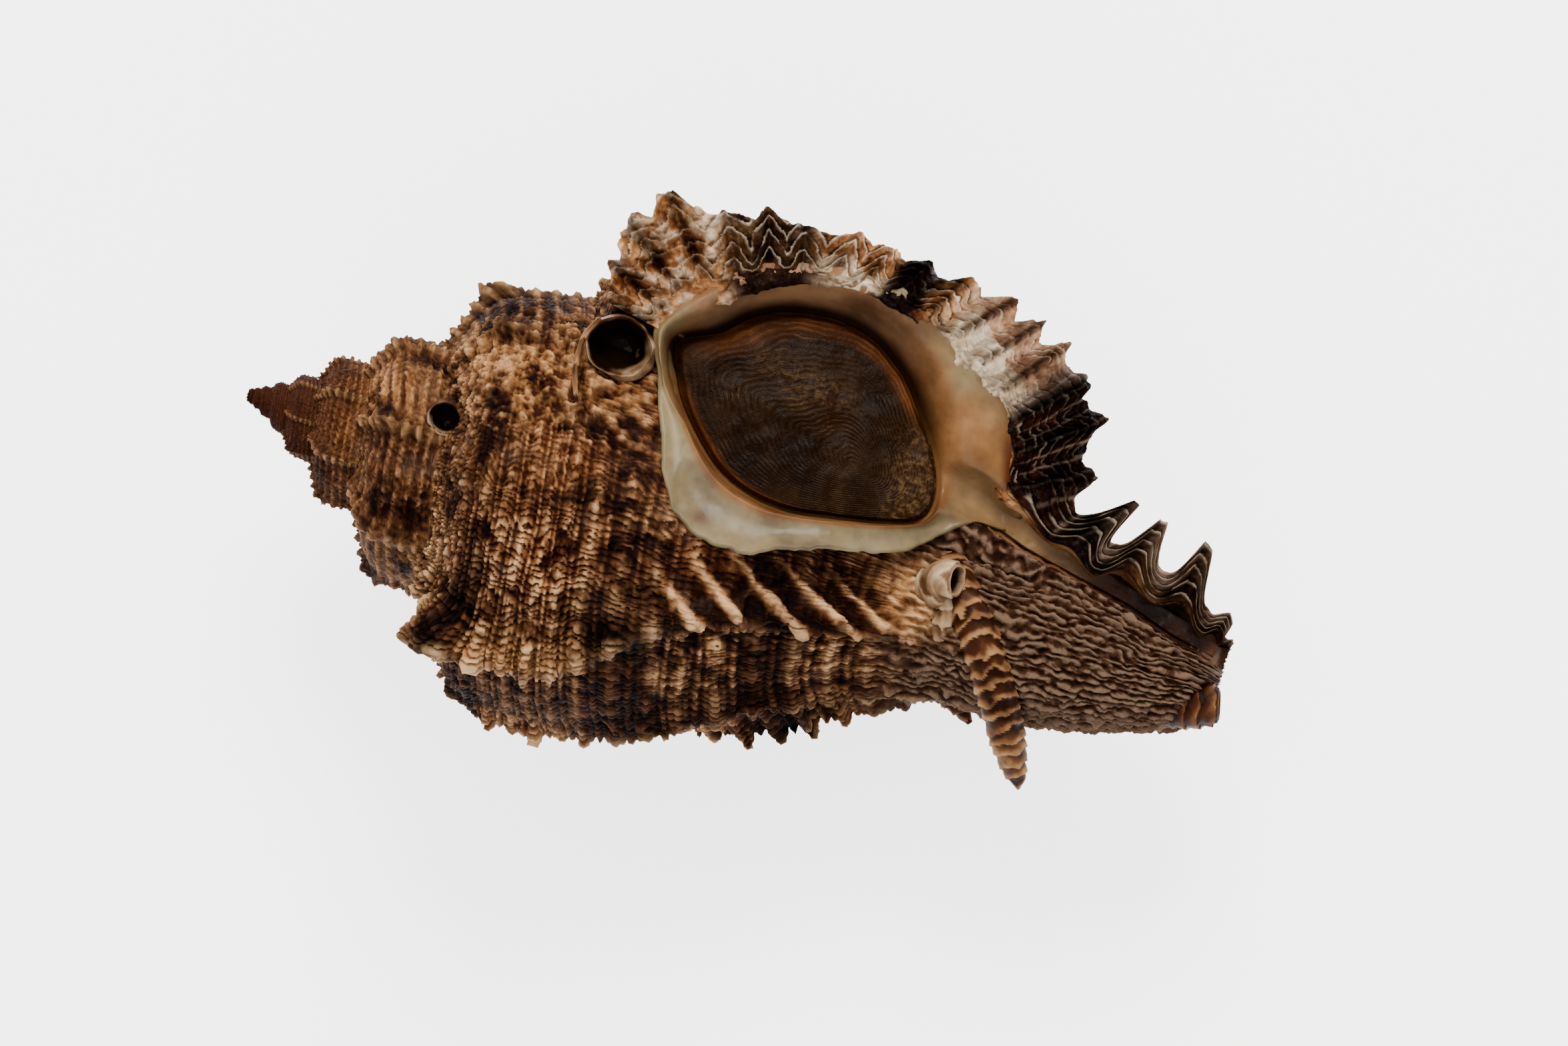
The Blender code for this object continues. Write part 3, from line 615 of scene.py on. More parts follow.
below = np.stack([
    MOUTH_CENTRE[0] + below_lid * np.cos(around), MOUTH_CENTRE[1] + below_lid * np.sin(around),
    lid_height(MOUTH_CENTRE[1] + below_lid * np.sin(around)) - 2.4,
], axis=-1)
surround = np.concatenate([below[None]] + glazed)
x, y, z = surround[..., 0], surround[..., 1], surround[..., 2]
t = np.concatenate([[-0.1], t_wall, np.linspace(1.0, 1.2, 6)])[:, None] + 0.0 * x
outer = np.broadcast_to(outer_side, t.shape)
patch = noise(x * 0.22, y * 0.22, 33, 3)
callus = (1.0 - outer) * smoothstep((t - 0.12) / 0.2)
white_right = 0.8 * np.exp(-(((np.degrees(around) - 35.0) / 17.0) ** 2)) * smoothstep((t + 0.15 * patch - 0.42) / 0.35)
white_top = np.exp(-(((x - 57.0) / 4.5) ** 2)) * (y > 20.0) * smoothstep((t - 0.66) / 0.25)
left_end = smoothstep((39.6 - x) / 2.0) * smoothstep((t - 0.2) / 0.3)
shade_top = smoothstep((y - 15.0) / 6.0) * (1.0 - 0.6 * smoothstep((t - 0.6) / 0.4)) * smoothstep((66.0 - x) / 8.0)
rusty = outer * smoothstep((x - 69.5) / 2.5) * smoothstep((t - 0.80) / 0.14) * smoothstep((19.0 - y) / 3.0)
dark_spot = np.exp(-(((x - 45.6) / 1.0) ** 2 + ((y - 1.4) / 0.7) ** 2))
groove_middle, _, groove_half = groove_at(x)
into_canal = smoothstep((1.9 - np.abs(y - groove_middle) / groove_half) / 0.9) * smoothstep((x - 66.0) / 5.0)
ivory = callus + 0.8 * left_end + white_right + 0.9 * white_top + 0.12 * patch
rust = rusty + 0.75 * dark_spot + 0.25 * (patch > 0.55)
# painted shade: the wall under the lip gets the shaded colour, and the wall next to the lid darkens to near black
values = {
    "ivory": np.clip(ivory + (0.45 - ivory) * into_canal, 0.0, 1.0),
    "painted_wall_shade": np.clip(shade_top * (0.85 + 0.3 * patch), 0.0, 1.0),
    "rust": np.clip(rust + (0.10 - rust) * into_canal, 0.0, 1.0),
    "depth": smoothstep((0.26 - t) / 0.24) * outer * smoothstep((y - 11.0) / 8.0) * smoothstep((68.0 - x) / 5.0),
}

# Porcelain-like aragonite: smooth, glossy and slightly see-through, ivory on the callus, warm cream on
# the right wall, with painted shade under the lip and near the lid, with faint growth lines and small pits.
porcelain, shader = new_material("glazed_aragonite")
place = add(porcelain, "ShaderNodeTexCoord").outputs["Object"]
ivory, painted_wall_shade, rust, depth = (attribute(porcelain, key) for key in ("ivory", "painted_wall_shade", "rust", "depth"))
clouds = add(porcelain, "ShaderNodeTexNoise", [("Vector", place)], Scale=160.0, Detail=4.0, Roughness=0.55)
grain = add(porcelain, "ShaderNodeTexNoise", [("Vector", place)], Scale=1400.0, Detail=2.0)
cream = ramp(porcelain, clouds.outputs["Fac"], [(0.35, "#533318"), (0.52, "#6a4524"), (0.68, "#805935")])
pale_ivory = ramp(porcelain, clouds.outputs["Fac"], [(0.35, "#514430"), (0.5, "#685a3e"), (0.66, "#7b6d4e")])
shaded = ramp(porcelain, clouds.outputs["Fac"], [(0.35, "#4c3421"), (0.65, "#7e5d42")])
tone = blend(porcelain, painted_wall_shade, cream, shaded)
tone = blend(porcelain, ivory, tone, pale_ivory)
tone = blend(porcelain, worked(porcelain, "MULTIPLY", rust, 0.9), tone, "#431b05")
# near-black painted shade deep by the lid and at the canal's far end
tone = blend(porcelain, worked(porcelain, "MULTIPLY", depth, 0.92), tone, "#170500")
specks = ramp(porcelain, grain.outputs["Fac"], [(0.30, "#000000"), (0.36, "#ffffff")])
tone = blend(porcelain, 0.10, tone, specks, "MULTIPLY")
porcelain.node_tree.links.new(tone, shader.inputs["Base Color"])
satin = ramp(porcelain, clouds.outputs["Fac"], [(0.3, "#9a9a9a"), (0.7, "#b4b4b4")])
porcelain.node_tree.links.new(satin, shader.inputs["Roughness"])
ripple = add(porcelain, "ShaderNodeBump", [("Height", clouds.outputs["Fac"])], Strength=0.35, Distance=0.0006)
porcelain.node_tree.links.new(ripple.outputs["Normal"], shader.inputs["Normal"])
shader.inputs["Coat Weight"].default_value = 0.02
shader.inputs["Specular IOR Level"].default_value = 0.16
shader.inputs["Coat Roughness"].default_value = 0.25

mouth = grid_piece("mouth", surround, values, ends=[(53.0, 13.0, 4.5), (53.0, 13.0, 2.0)], wrap=True)
mouth.data.materials.append(porcelain)
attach(mouth, "root")

# Canal
# The open gutter from the mouth to the end of the neck, which held the animal's siphon. Its walls rise
# a little proud of the neck, with a rough edge; its glaze is orange cream, with painted shade on the walls and towards
# the far end.
course = catmull(CANAL_GROOVE, np.linspace(0.62, 5.45, 260))
heading = np.gradient(course[:, :2], axis=0)
heading /= np.linalg.norm(heading, axis=1, keepdims=True)
wall = np.array(CANAL_WALL)
wall_top = np.interp(course[:, 0], wall[:, 0], wall[:, 2] + 0.94 * wall[:, 3])
wall_top = wall_top - 0.9
profile = np.array([
    (-1.0, -1.25, -2.2), (-1.0, -0.80, -0.1), (-1.0, -0.35, 0.60), (-0.93, -0.05, -0.1), (-0.66, 0.0, -9.0),
    (0.0, 0.0, -10.0), (0.8, 0.1, -9.0), (0.95, 0.4, -4.0), (1.0, 0.7, -2.6), (1.0, 1.0, -3.2), (1.0, 1.2, -5.0),
])
shape = catmull(profile, np.linspace(0.0, 10.0, 90))
half, beyond, level = shape[:, 0], shape[:, 1], shape[:, 2]
floor_share = smoothstep((-level - 0.3) / 8.7)
across = course[:, None, 3] * half + beyond * 1.1
top = wall_top[:, None] + np.maximum(level, -5.0)
z = top + (course[:, None, 2] - top) * floor_share
x = course[:, None, 0] - heading[:, None, 1] * across
y = course[:, None, 1] + heading[:, None, 0] * across
rough = noise(x * 0.9, y * 1.4, 41, 3)
z = z + (0.12 + 0.28 * (1.0 - floor_share)) * rough - 1.6 * smoothstep((74.0 - x) / 3.0)
y = y + 0.16 * noise(x * 1.2, 0.0 * y, 42, 2) * (1.0 - floor_share)
lining = np.stack([x, y, z], axis=-1)
# towards the far end, under the overhanging fronds, the lining is painted brown to near black as painted shade
far = smoothstep((x - 82.0) / 5.0)
values = {
    "ivory": 0.45 * (1.0 - far) * floor_share,
    "painted_wall_shade": 0.3 * (1.0 - floor_share) + 0.0 * x,
    "rust": np.clip(0.10 + 0.8 * far + 0.30 * (1.0 - floor_share) + 0.2 * rough, 0.0, 1.0),
    "depth": np.clip(far * 0.95 * smoothstep((98.0 - x) / 2.5), 0.0, 1.0),
}
canal = grid_piece("canal", lining[:, ::-1], {key: value[:, ::-1] for key, value in values.items()},
                   ends=[(80.0, 7.0, -1.0)])
canal.data.materials.append(porcelain)
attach(canal, "root")

# Lip
# The fluted edge of the outer lip: each spiral cord ends in a frond, the shell dips between them, and
# thin growth scales lie over each other round it in zigzags, with pale edges and painted shade in the gaps under them.
FRONDS = (
    ((35.6, 17.9), (30.6, 18.9)), ((36.8, 19.4), (29.8, 22.6)),
    ((38.0, 21.4), (30.4, 26.6)), ((39.6, 23.0), (32.8, 31.4)), ((42.0, 25.0), (38.6, 31.4)),
    ((44.8, 26.6), (42.8, 32.9)), ((47.8, 27.6), (46.9, 32.8)), ((51.2, 28.2), (52.3, 33.2)),
    ((54.4, 28.4), (56.0, 33.0)), ((57.6, 27.9), (60.0, 32.5)), ((60.8, 26.8), (64.0, 31.8)),
    ((63.8, 25.2), (69.0, 31.1)), ((66.8, 23.4), (72.2, 29.8)), ((69.6, 21.4), (75.2, 28.4)),
    ((71.6, 18.9), (78.2, 25.4)), ((72.9, 16.2), (80.4, 22.0)), ((73.6, 12.8), (81.7, 17.2)),
    ((81.0, 9.2), (86.0, 15.4)), ((86.8, 8.7), (89.1, 14.5)), ((93.2, 7.0), (94.1, 13.6)),
    ((97.2, 5.3), (98.4, 7.2)), ((98.2, 4.5), (99.2, 5.1)),
)
FIRST_FINGER = 17.0
SCALE_STEP = 1.15
frond_at = np.linspace(0.0, len(FRONDS) - 1.0, 760)
out_share = np.concatenate([np.linspace(-0.14, 1.0, 92), np.linspace(1.0, 2.0, 34)[1:]])
q, p = np.meshgrid(out_share, frond_at, indexing="ij")
feet = catmull([foot for foot, tip in FRONDS], p)
spans = catmull([np.subtract(tip, foot) for foot, tip in FRONDS], p)
span_length = np.linalg.norm(spans, axis=-1)
# the frills from the fourth frond to the ninth hang over the mouth's wall
overhang = smoothstep((p - 2.6) / 1.0) * smoothstep((13.6 - p) / 0.8) * (1.0 - 0.4 * smoothstep((p - 9.4) / 0.6))
feet = feet - spans / span_length[..., None] * (0.85 * overhang)[..., None]
crumpled = smoothstep((4.4 - p) / 1.2)
pale_fronds = smoothstep((p - 10.1) / 0.7) * smoothstep((13.9 - p) / 0.7)
to_peak = p - np.round(p)
peak = 0.5 + 0.5 * np.cos(2.0 * np.pi * to_peak)
finger = smoothstep((p - FIRST_FINGER + 1.2) / 1.2)
low_frill = smoothstep((p - 3.5) / 1.5)
valley = 0.92 - 0.08 * low_frill - 0.54 * finger + 0.06 * noise(np.floor(p) * 1.7, 0.0 * p, 51, 1)
sharp = np.clip(peak * (1.0 + 0.12 * finger), 0.0, 1.0) ** (1.15 + 0.45 * finger)
ragged = 0.09 * (1.0 - 0.5 * finger) * noise(p * 4.0, 0.0 * p, 52, 4)
share = valley + (1.0 - valley) * sharp + ragged
top_q = np.minimum(q, 1.0)
place_out = top_q * share
outward_mm = top_q * span_length * share
x = feet[..., 0] + spans[..., 0] * place_out
y = feet[..., 1] + spans[..., 1] * place_out
# between the fingers the edge hangs into the canal in bowls
bowl = smoothstep((p - 16.3) / 0.6) * smoothstep((20.6 - p) / 0.5)
y = y - 1.5 * (1.0 - peak) * bowl * np.clip(1.0 - top_q, 0.0, 1.0)
wall = np.array(CANAL_WALL)
on_wall = np.interp(feet[..., 0], wall[:, 0], wall[:, 2] + 0.94 * wall[:, 3]) - 0.3
root = rim_height(feet[..., 0], feet[..., 1])
root = root + (np.maximum(root, on_wall) - root) * smoothstep((feet[..., 0] - 72.0) / 4.0)
z = root - 0.35 - 3.0 * np.clip(top_q, 0.0, 1.0) ** 1.4 * (0.55 + 0.45 * peak) * (1.0 - 0.6 * finger)
z = z - 26.0 * np.clip(-top_q, 0.0, 1.0) * smoothstep((p - 16.0) / 1.0)
# each frond is a gutter open towards the mouth, and the shell between two of them is arched
gutter = np.exp(-((to_peak / 0.17) ** 2)) - 0.35
z = z - (0.8 + 0.3 * finger) * gutter * smoothstep(top_q / 0.4)
# growth scales in zigzags: their edges run furthest out along the fronds
left = smoothstep((9.0 - p) / 2.0)
zigzag = (0.7 + 0.7 * left - 0.7 * crumpled + 1.2 * finger) * (1.0 - 4.0 * np.abs(to_peak)) * smoothstep(top_q / 0.25)
torn = noise(p * 2.4, outward_mm * 0.45, 53, 4)
phase = (outward_mm - zigzag + 0.95 * torn) / (SCALE_STEP + 0.45 * left)
# between the fingers the scales hang in nested garlands that follow the outline
phase = phase + (5.0 * top_q + 0.35 * torn - phase) * smoothstep((p - FIRST_FINGER + 1.0) / 0.8)
saw = phase - np.floor(phase)
z = z + 0.85 * (1.0 - 0.5 * pale_fronds) * (saw**1.5 - 0.35) * smoothstep(top_q / 0.12) * smoothstep((1.04 - top_q) / 0.2)
z = z - 0.75 * (peak - 0.5) * smoothstep(top_q / 0.3) * (1.0 - finger)
flakes = noise(x * 0.85, y * 0.85, 58, 4)
z = z + 0.45 * noise(x * 0.7, y * 0.7, 54, 3) + 0.26 * noise(x * 2.2, y * 2.2, 56, 2)
z = z + 1.1 * crumpled * flakes * smoothstep(top_q / 0.15) + 0.45 * overhang * smoothstep((0.25 - top_q) / 0.25)
# soft ruffles beside the mouth's right wall
ruffles = noise(x * 0.55, y * 0.55, 59, 3)
z = z + 1.3 * pale_fronds * ruffles * smoothstep((0.75 - top_q) / 0.3)
# the outside of the lip, from the fronds' tips back to the whorl behind them
back = np.clip(q - 1.0, 0.0, 1.0)
inward = -spans / span_length[..., None]
under_x = feet[..., 0] + 3.6 * inward[..., 0]
under_y = feet[..., 1] + 3.6 * inward[..., 1]
x = x + (under_x - x) * back
y = y + (under_y - y) * back
fold = np.sin(np.pi * np.clip(back, 0.0, 1.0))
z = z - back * 7.6 * (1.0 - 0.65 * smoothstep((p - 18.2) / 1.6)) - 1.4 * np.minimum(1.0, back * 6.0) * (0.6 + 0.4 * peak) - 1.6 * fold * peak
z = z + 0.35 * (growth_wave(p * CORD_SPACING, back * 60.0) - 0.4) * (back > 0.0) * (1.0 - back)
lip_points = np.stack([x, y, z], axis=-1)
edge = smoothstep((saw - 0.72) / 0.2) * (top_q > 0.04)
# painted shade under each growth scale's edge
painted_gap_shade = smoothstep((0.30 - saw) / 0.2) * (back == 0.0) * (1.0 - 0.5 * crumpled - 0.7 * pale_fronds)
mottled = noise(x * 0.35, y * 0.35, 55, 3)
broken_edge = noise(x * 0.9, y * 0.9, 57, 3)


def along_lip(centre, half, soft=0.5):
    """1 where the lip's frond number is near a centre, soft at the ends."""
    return smoothstep((half + soft - np.abs(p - centre + 0.25 * mottled)) / (2.0 * soft))


near_rim = smoothstep((0.50 + 0.30 * mottled + 0.25 * ruffles * pale_fronds - top_q) / 0.16)
white = along_lip(11.9, 1.5) * near_rim + 0.75 * along_lip(7.6, 1.2) * near_rim
white = white + 0.6 * crumpled * smoothstep((flakes + 0.05) / 0.4)
black = along_lip(9.1, 0.65, 0.25) * smoothstep((0.42 - back) / 0.4)
brown = 0.86 * along_lip(5.2, 1.35) + 1.2 * along_lip(15.3, 2.0, 0.5)
brown = brown + 0.9 * along_lip(19.0, 2.2, 0.8)
brown = brown * (1.0 - smoothstep((0.02 - top_q) / 0.06) * smoothstep((p - 14.5) / 0.5) * smoothstep((18.6 - p) / 0.6))
fan_lines = smoothstep((np.cos(p * 2.0 * np.pi * 3.0 + 2.0 * mottled) - 0.75) / 0.25) * smoothstep(top_q / 0.3)
mauve = along_lip(11.9, 1.7) * (1.0 - near_rim) + 0.45 * along_lip(15.2, 2.0) * fan_lines
mauve = mauve + 0.6 * along_lip(19.3, 2.2) * smoothstep((top_q - 0.35) / 0.3)
# the same painted shade also lies in the fronds' gutters, in a band where the lip overhangs the mouth's wall and in the
# crumpled flakes' hollows
values = {
    "edge": edge * (back == 0.0) * smoothstep((broken_edge + 0.20 + 0.35 * left + 0.3 * finger) / 0.5)
    * (1.0 - 0.6 * crumpled) * (1.0 - 0.80 * along_lip(14.8, 1.7) * smoothstep((top_q - 0.15) / 0.3)),
    "painted_gap_shade": np.clip(
        painted_gap_shade + 0.8 * smoothstep((peak - 0.72) / 0.25) * (top_q > 0.12) * (back == 0.0)
        + along_lip(5.4, 1.7) * (top_q < 0.12) + 0.4 * crumpled * smoothstep((-flakes - 0.28) / 0.25), 0.0, 1.0),
    "white": np.clip(white, 0.0, 1.0),
    "brown": np.clip(np.maximum(brown, black) * (1.0 + 0.25 * mottled), 0.0, 1.0),
    "black": np.clip(black, 0.0, 1.0),
    "mauve": np.clip(mauve * (0.7 + 0.6 * mottled), 0.0, 1.0),
    "back": smoothstep(back * 5.0),
    "peak": peak,
}

# Unglazed aragonite in thin overlapping scales: orange cream where fresh, chocolate where the animal
# laid down colour, mauve grey on the fronds near the canal, with chalky white broken edges, and painted shade in the
# gaps and gutters.
frilled, shader = new_material("frilled_aragonite")
place = add(frilled, "ShaderNodeTexCoord").outputs["Object"]
edge, painted_gap_shade, white, brown, black, mauve, back_side, peaks = (
    attribute(frilled, key) for key in ("edge", "painted_gap_shade", "white", "brown", "black", "mauve", "back", "peak")
)
clouds = add(frilled, "ShaderNodeTexNoise", [("Vector", place)], Scale=260.0, Detail=5.0, Roughness=0.65)
grain = add(frilled, "ShaderNodeTexNoise", [("Vector", place)], Scale=2100.0, Detail=3.0, Roughness=0.7)
fresh = ramp(frilled, clouds.outputs["Fac"], [(0.36, "#47230f"), (0.5, "#845833"), (0.64, "#b78c60")])
chocolate = ramp(frilled, clouds.outputs["Fac"], [(0.36, "#060100"), (0.52, "#120400"), (0.68, "#2b1108")])
greyed = ramp(frilled, clouds.outputs["Fac"], [(0.36, "#5c4435"), (0.5, "#8d7361"), (0.66, "#b39c88")])
chalk = ramp(frilled, clouds.outputs["Fac"], [(0.36, "#7d6850"), (0.5, "#a8947a"), (0.64, "#c6b79f")])
tone = blend(frilled, brown, fresh, chocolate)
tone = blend(frilled, worked(frilled, "MULTIPLY", mauve, 0.7), tone, greyed)
tone = blend(frilled, white, tone, chalk)
# painted shade in the gaps and gutters
crevice_shade = blend(frilled, 1.0, tone, "#47291a", "MULTIPLY")
tone = blend(frilled, worked(frilled, "MULTIPLY", painted_gap_shade, 0.8), tone, crevice_shade)
rim_tone = blend(frilled, brown, chalk, blend(frilled, 0.45, chalk, "#1a0d07"))
tone = blend(frilled, worked(frilled, "MULTIPLY", edge, 0.75), tone, rim_tone)
outside = ramp(frilled, clouds.outputs["Fac"], [(0.36, "#2a150b"), (0.5, "#5c3b26"), (0.64, "#94704f")])
tone = blend(frilled, worked(frilled, "MULTIPLY", back_side, 0.8), tone, outside)
tone = blend(frilled, black, tone, "#0a0200")
frilled.node_tree.links.new(tone, shader.inputs["Base Color"])
gloss = ramp(frilled, grain.outputs["Fac"], [(0.3, "#787878"), (0.7, "#b4b4b4")])
frilled.node_tree.links.new(gloss, shader.inputs["Roughness"])
chipped = add(frilled, "ShaderNodeBump", [("Height", grain.outputs["Fac"])], Strength=0.5, Distance=0.0003)
frilled.node_tree.links.new(chipped.outputs["Normal"], shader.inputs["Normal"])
shader.inputs["Specular IOR Level"].default_value = 0.03

lip_points = lip_points.transpose(1, 0, 2)
values = {key: np.broadcast_to(value, q.shape).T for key, value in values.items()}
lip = grid_piece("lip", lip_points, values, ends=[tuple(lip_points[k].mean(axis=0)) for k in (0, -1)], wrap=True)
lip.data.materials.append(frilled)
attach(lip, "root")

# Spines
# Loose prickles and hollow stumps on the whorl and neck: old ends of the canal and fronds cut off by
# later growth. Each is a curled tube of the same shell, ringed where it grew.


def spine(name, route, rings, sides, hollow=0.0, ring_step=1.2, relief=0.25, seed=60, values=None, squash=1.0, bow=0.0):
    """A tapering tube along a route of (x, y, z, radius); hollow is the depth of its open end."""
    at = np.linspace(0.0, len(route) - 1.0, rings)
    course = catmull(route, at)
    centre, radius = course[:, :3], np.maximum(course[:, 3], 0.04)
    heading = np.gradient(centre, axis=0)
    heading /= np.linalg.norm(heading, axis=1, keepdims=True)
    side = np.cross(heading, (0.2, 0.1, 1.0))
    side /= np.linalg.norm(side, axis=1, keepdims=True)
    up = np.cross(side, heading)
    length = np.concatenate([[0.0], np.cumsum(np.linalg.norm(np.diff(centre, axis=0), axis=1))])
    turn = np.linspace(0.0, 2.0 * np.pi, sides, endpoint=False)
    run, angle = np.meshgrid(length, turn, indexing="ij")
    phase = run / ring_step + 0.25 * noise(np.cos(angle) * 1.5, run * 0.7 + np.sin(angle), seed, 3) * (1.0 + 3.2 * bow)
    phase = phase + bow * np.sin(angle)
    saw = phase - np.floor(phase)
    bumps = relief * (saw**1.6 - 0.4) + 0.7 * relief * noise(np.cos(angle) * 1.4 + run * 0.5, np.sin(angle) * 1.4, seed + 3, 3)
    tip = smoothstep((length[-1] - run) / 1.5)
    wide = radius[:, None] + bumps * np.minimum(1.0, radius[:, None]) * (tip if not hollow else 1.0)
    points = centre[:, None] + wide[..., None] * (
        np.cos(angle)[..., None] * side[:, None] + squash * np.sin(angle)[..., None] * up[:, None]
    )
    points[..., 2] = np.maximum(points[..., 2], -26.5)
    found = {"height": np.clip(0.5 + bumps / max(relief, 0.01) * 0.6, 0.0, 1.0), "growth": saw, "inside": 0.0 * saw}
    if hollow:
        deep = np.linspace(0.0, 1.0, 26)[1:]
        inner = []
        for share in deep:
            mouth_wide = wide[-1] * (0.86 - 0.50 * share**2) - 0.12 * min(1.0, 6.0 * share)
            back = centre[-1] - heading[-1] * (hollow * share) + 0.25 * heading[-1] * np.sin(np.pi * min(1.0, share * 5.0))
            inner.append(back + mouth_wide[:, None] * (
                np.cos(turn)[:, None] * side[-1] + squash * np.sin(turn)[:, None] * up[-1]
            ))
        points = np.concatenate([points, inner])
        extra = np.broadcast_to(deep[:, None], (len(deep), sides))
        # inside the open end the colour darkens with depth to near black: painted shade
        found["height"] = np.concatenate([found["height"], 0.6 - 0.5 * extra])
        found["growth"] = np.concatenate([found["growth"], 0.0 * extra])
        found["inside"] = np.concatenate([found["inside"], smoothstep(extra * 3.0)])
    for key, value in (values or {}).items():
        found[key] = value(points, found)
    piece = grid_piece(name, points, found, ends=[tuple(points[0].mean(axis=0)), tuple(points[-1].mean(axis=0))], wrap=True)
    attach(piece, "root")
    return piece


# Old shell in rings of brown and tan, with chalky rims and glossy insides painted near black as painted shade.
ringed, shader = new_material("ringed_aragonite")
place = add(ringed, "ShaderNodeTexCoord").outputs["Object"]
height, scales, inside, chalky, banding = (
    attribute(ringed, key) for key in ("height", "growth", "inside", "chalky", "banding")
)
clouds = add(ringed, "ShaderNodeTexNoise", [("Vector", place)], Scale=420.0, Detail=4.0, Roughness=0.65)
level = worked(ringed, "ADD", height, worked(ringed, "MULTIPLY", worked(ringed, "SUBTRACT", clouds.outputs["Fac"], 0.5), 0.9), clamp=True)
brown_rings = ramp(ringed, level, [(0.1, "#150500"), (0.45, "#341808"), (0.8, "#5e3b20"), (1.0, "#886544")])
tan_rings = ramp(ringed, level, [(0.1, "#2c1609"), (0.5, "#644226"), (1.0, "#9a7650")])
tone = blend(ringed, banding, brown_rings, tan_rings)
chalk_tone = ramp(ringed, level, [(0.1, "#4a301c"), (0.5, "#86694c"), (1.0, "#b29b7b")])
tone = blend(ringed, chalky, tone, chalk_tone)
# near-black painted shade inside the hollow ends
tone = blend(ringed, inside, tone, "#140904")
ringed.node_tree.links.new(tone, shader.inputs["Base Color"])
dull = blend(ringed, inside, "#b4b4b4", "#505050")
ringed.node_tree.links.new(dull, shader.inputs["Roughness"])
rough_skin = add(ringed, "ShaderNodeBump", [("Height", clouds.outputs["Fac"])], Strength=0.4, Distance=0.0004)
ringed.node_tree.links.new(rough_skin.outputs["Normal"], shader.inputs["Normal"])
shader.inputs["Specular IOR Level"].default_value = 0.05


def nowhere(points, found):
    return 0.0 * points[..., 0]


def everywhere(points, found):
    return 0.0 * points[..., 0] + 1.0


def each_ring_edge(points, found):
    """Narrow tan edges on wide brown rings, and a worn tan stretch before the banded spine's tip."""
    worn_end = smoothstep((-points[..., 1] - 9.3) / 1.6) * smoothstep((points[..., 1] + 14.2) / 1.0)
    return np.clip(smoothstep((found["growth"] - 0.50) / 0.20) + 0.7 * worn_end, 0.0, 1.0)


banded = spine(
    "banded_spine", (
        (69.5, 4.2, 6.6, 2.0), (72.0, 1.7, 8.0, 2.0), (74.5, -1.2, 8.3, 2.0), (77.0, -4.8, 7.8, 1.95),
        (79.4, -8.6, 6.2, 1.85), (81.2, -11.6, 4.2, 1.6), (82.5, -13.7, 2.6, 1.0), (83.1, -15.0, 2.0, 0.15),
    ), 190, 48, ring_step=1.5, relief=0.24, seed=61, values={"chalky": nowhere, "banding": each_ring_edge}, bow=0.35,
)
white_curl = spine(
    "white_stump", ((69.3, 0.4, 4.5, 2.2), (69.2, 1.5, 8.4, 2.0), (69.8, 2.7, 10.5, 1.8), (71.1, 2.9, 11.3, 1.75)),
    70, 56, hollow=2.4, ring_step=2.6, relief=0.22, seed=64, values={"chalky": everywhere, "banding": nowhere},
)
lower_spine = spine(
    "lower_spine", ((68.0, -3.6, -4.0, 2.4), (71.0, -5.8, -4.3, 2.0), (74.4, -8.3, -4.7, 1.4), (76.9, -10.3, -5.0, 0.3)),
    70, 40, relief=0.35, seed=67, values={"chalky": nowhere, "banding": nowhere},
)
lowest_spine = spine(
    "next_spine", ((73.0, -4.2, -4.0, 2.4), (75.4, -6.3, -4.2, 1.9), (77.8, -8.2, -4.5, 1.2), (79.7, -9.5, -4.6, 0.3)),
    60, 40, relief=0.35, seed=70, values={"chalky": nowhere, "banding": nowhere},
)
old_canal = spine(
    "old_canal_end", (
        (84.0, -2.2, 0.0, 4.2), (88.0, -2.8, 0.3, 3.7), (92.5, -2.7, 0.5, 3.0), (96.5, -2.0, 1.4, 2.5),
        (98.7, -1.5, 1.9, 2.2), (99.5, -1.3, 2.0, 1.9),
    ), 110, 60, hollow=1.2, ring_step=1.3, relief=0.32, seed=73, values={"chalky": nowhere, "banding": nowhere},
)


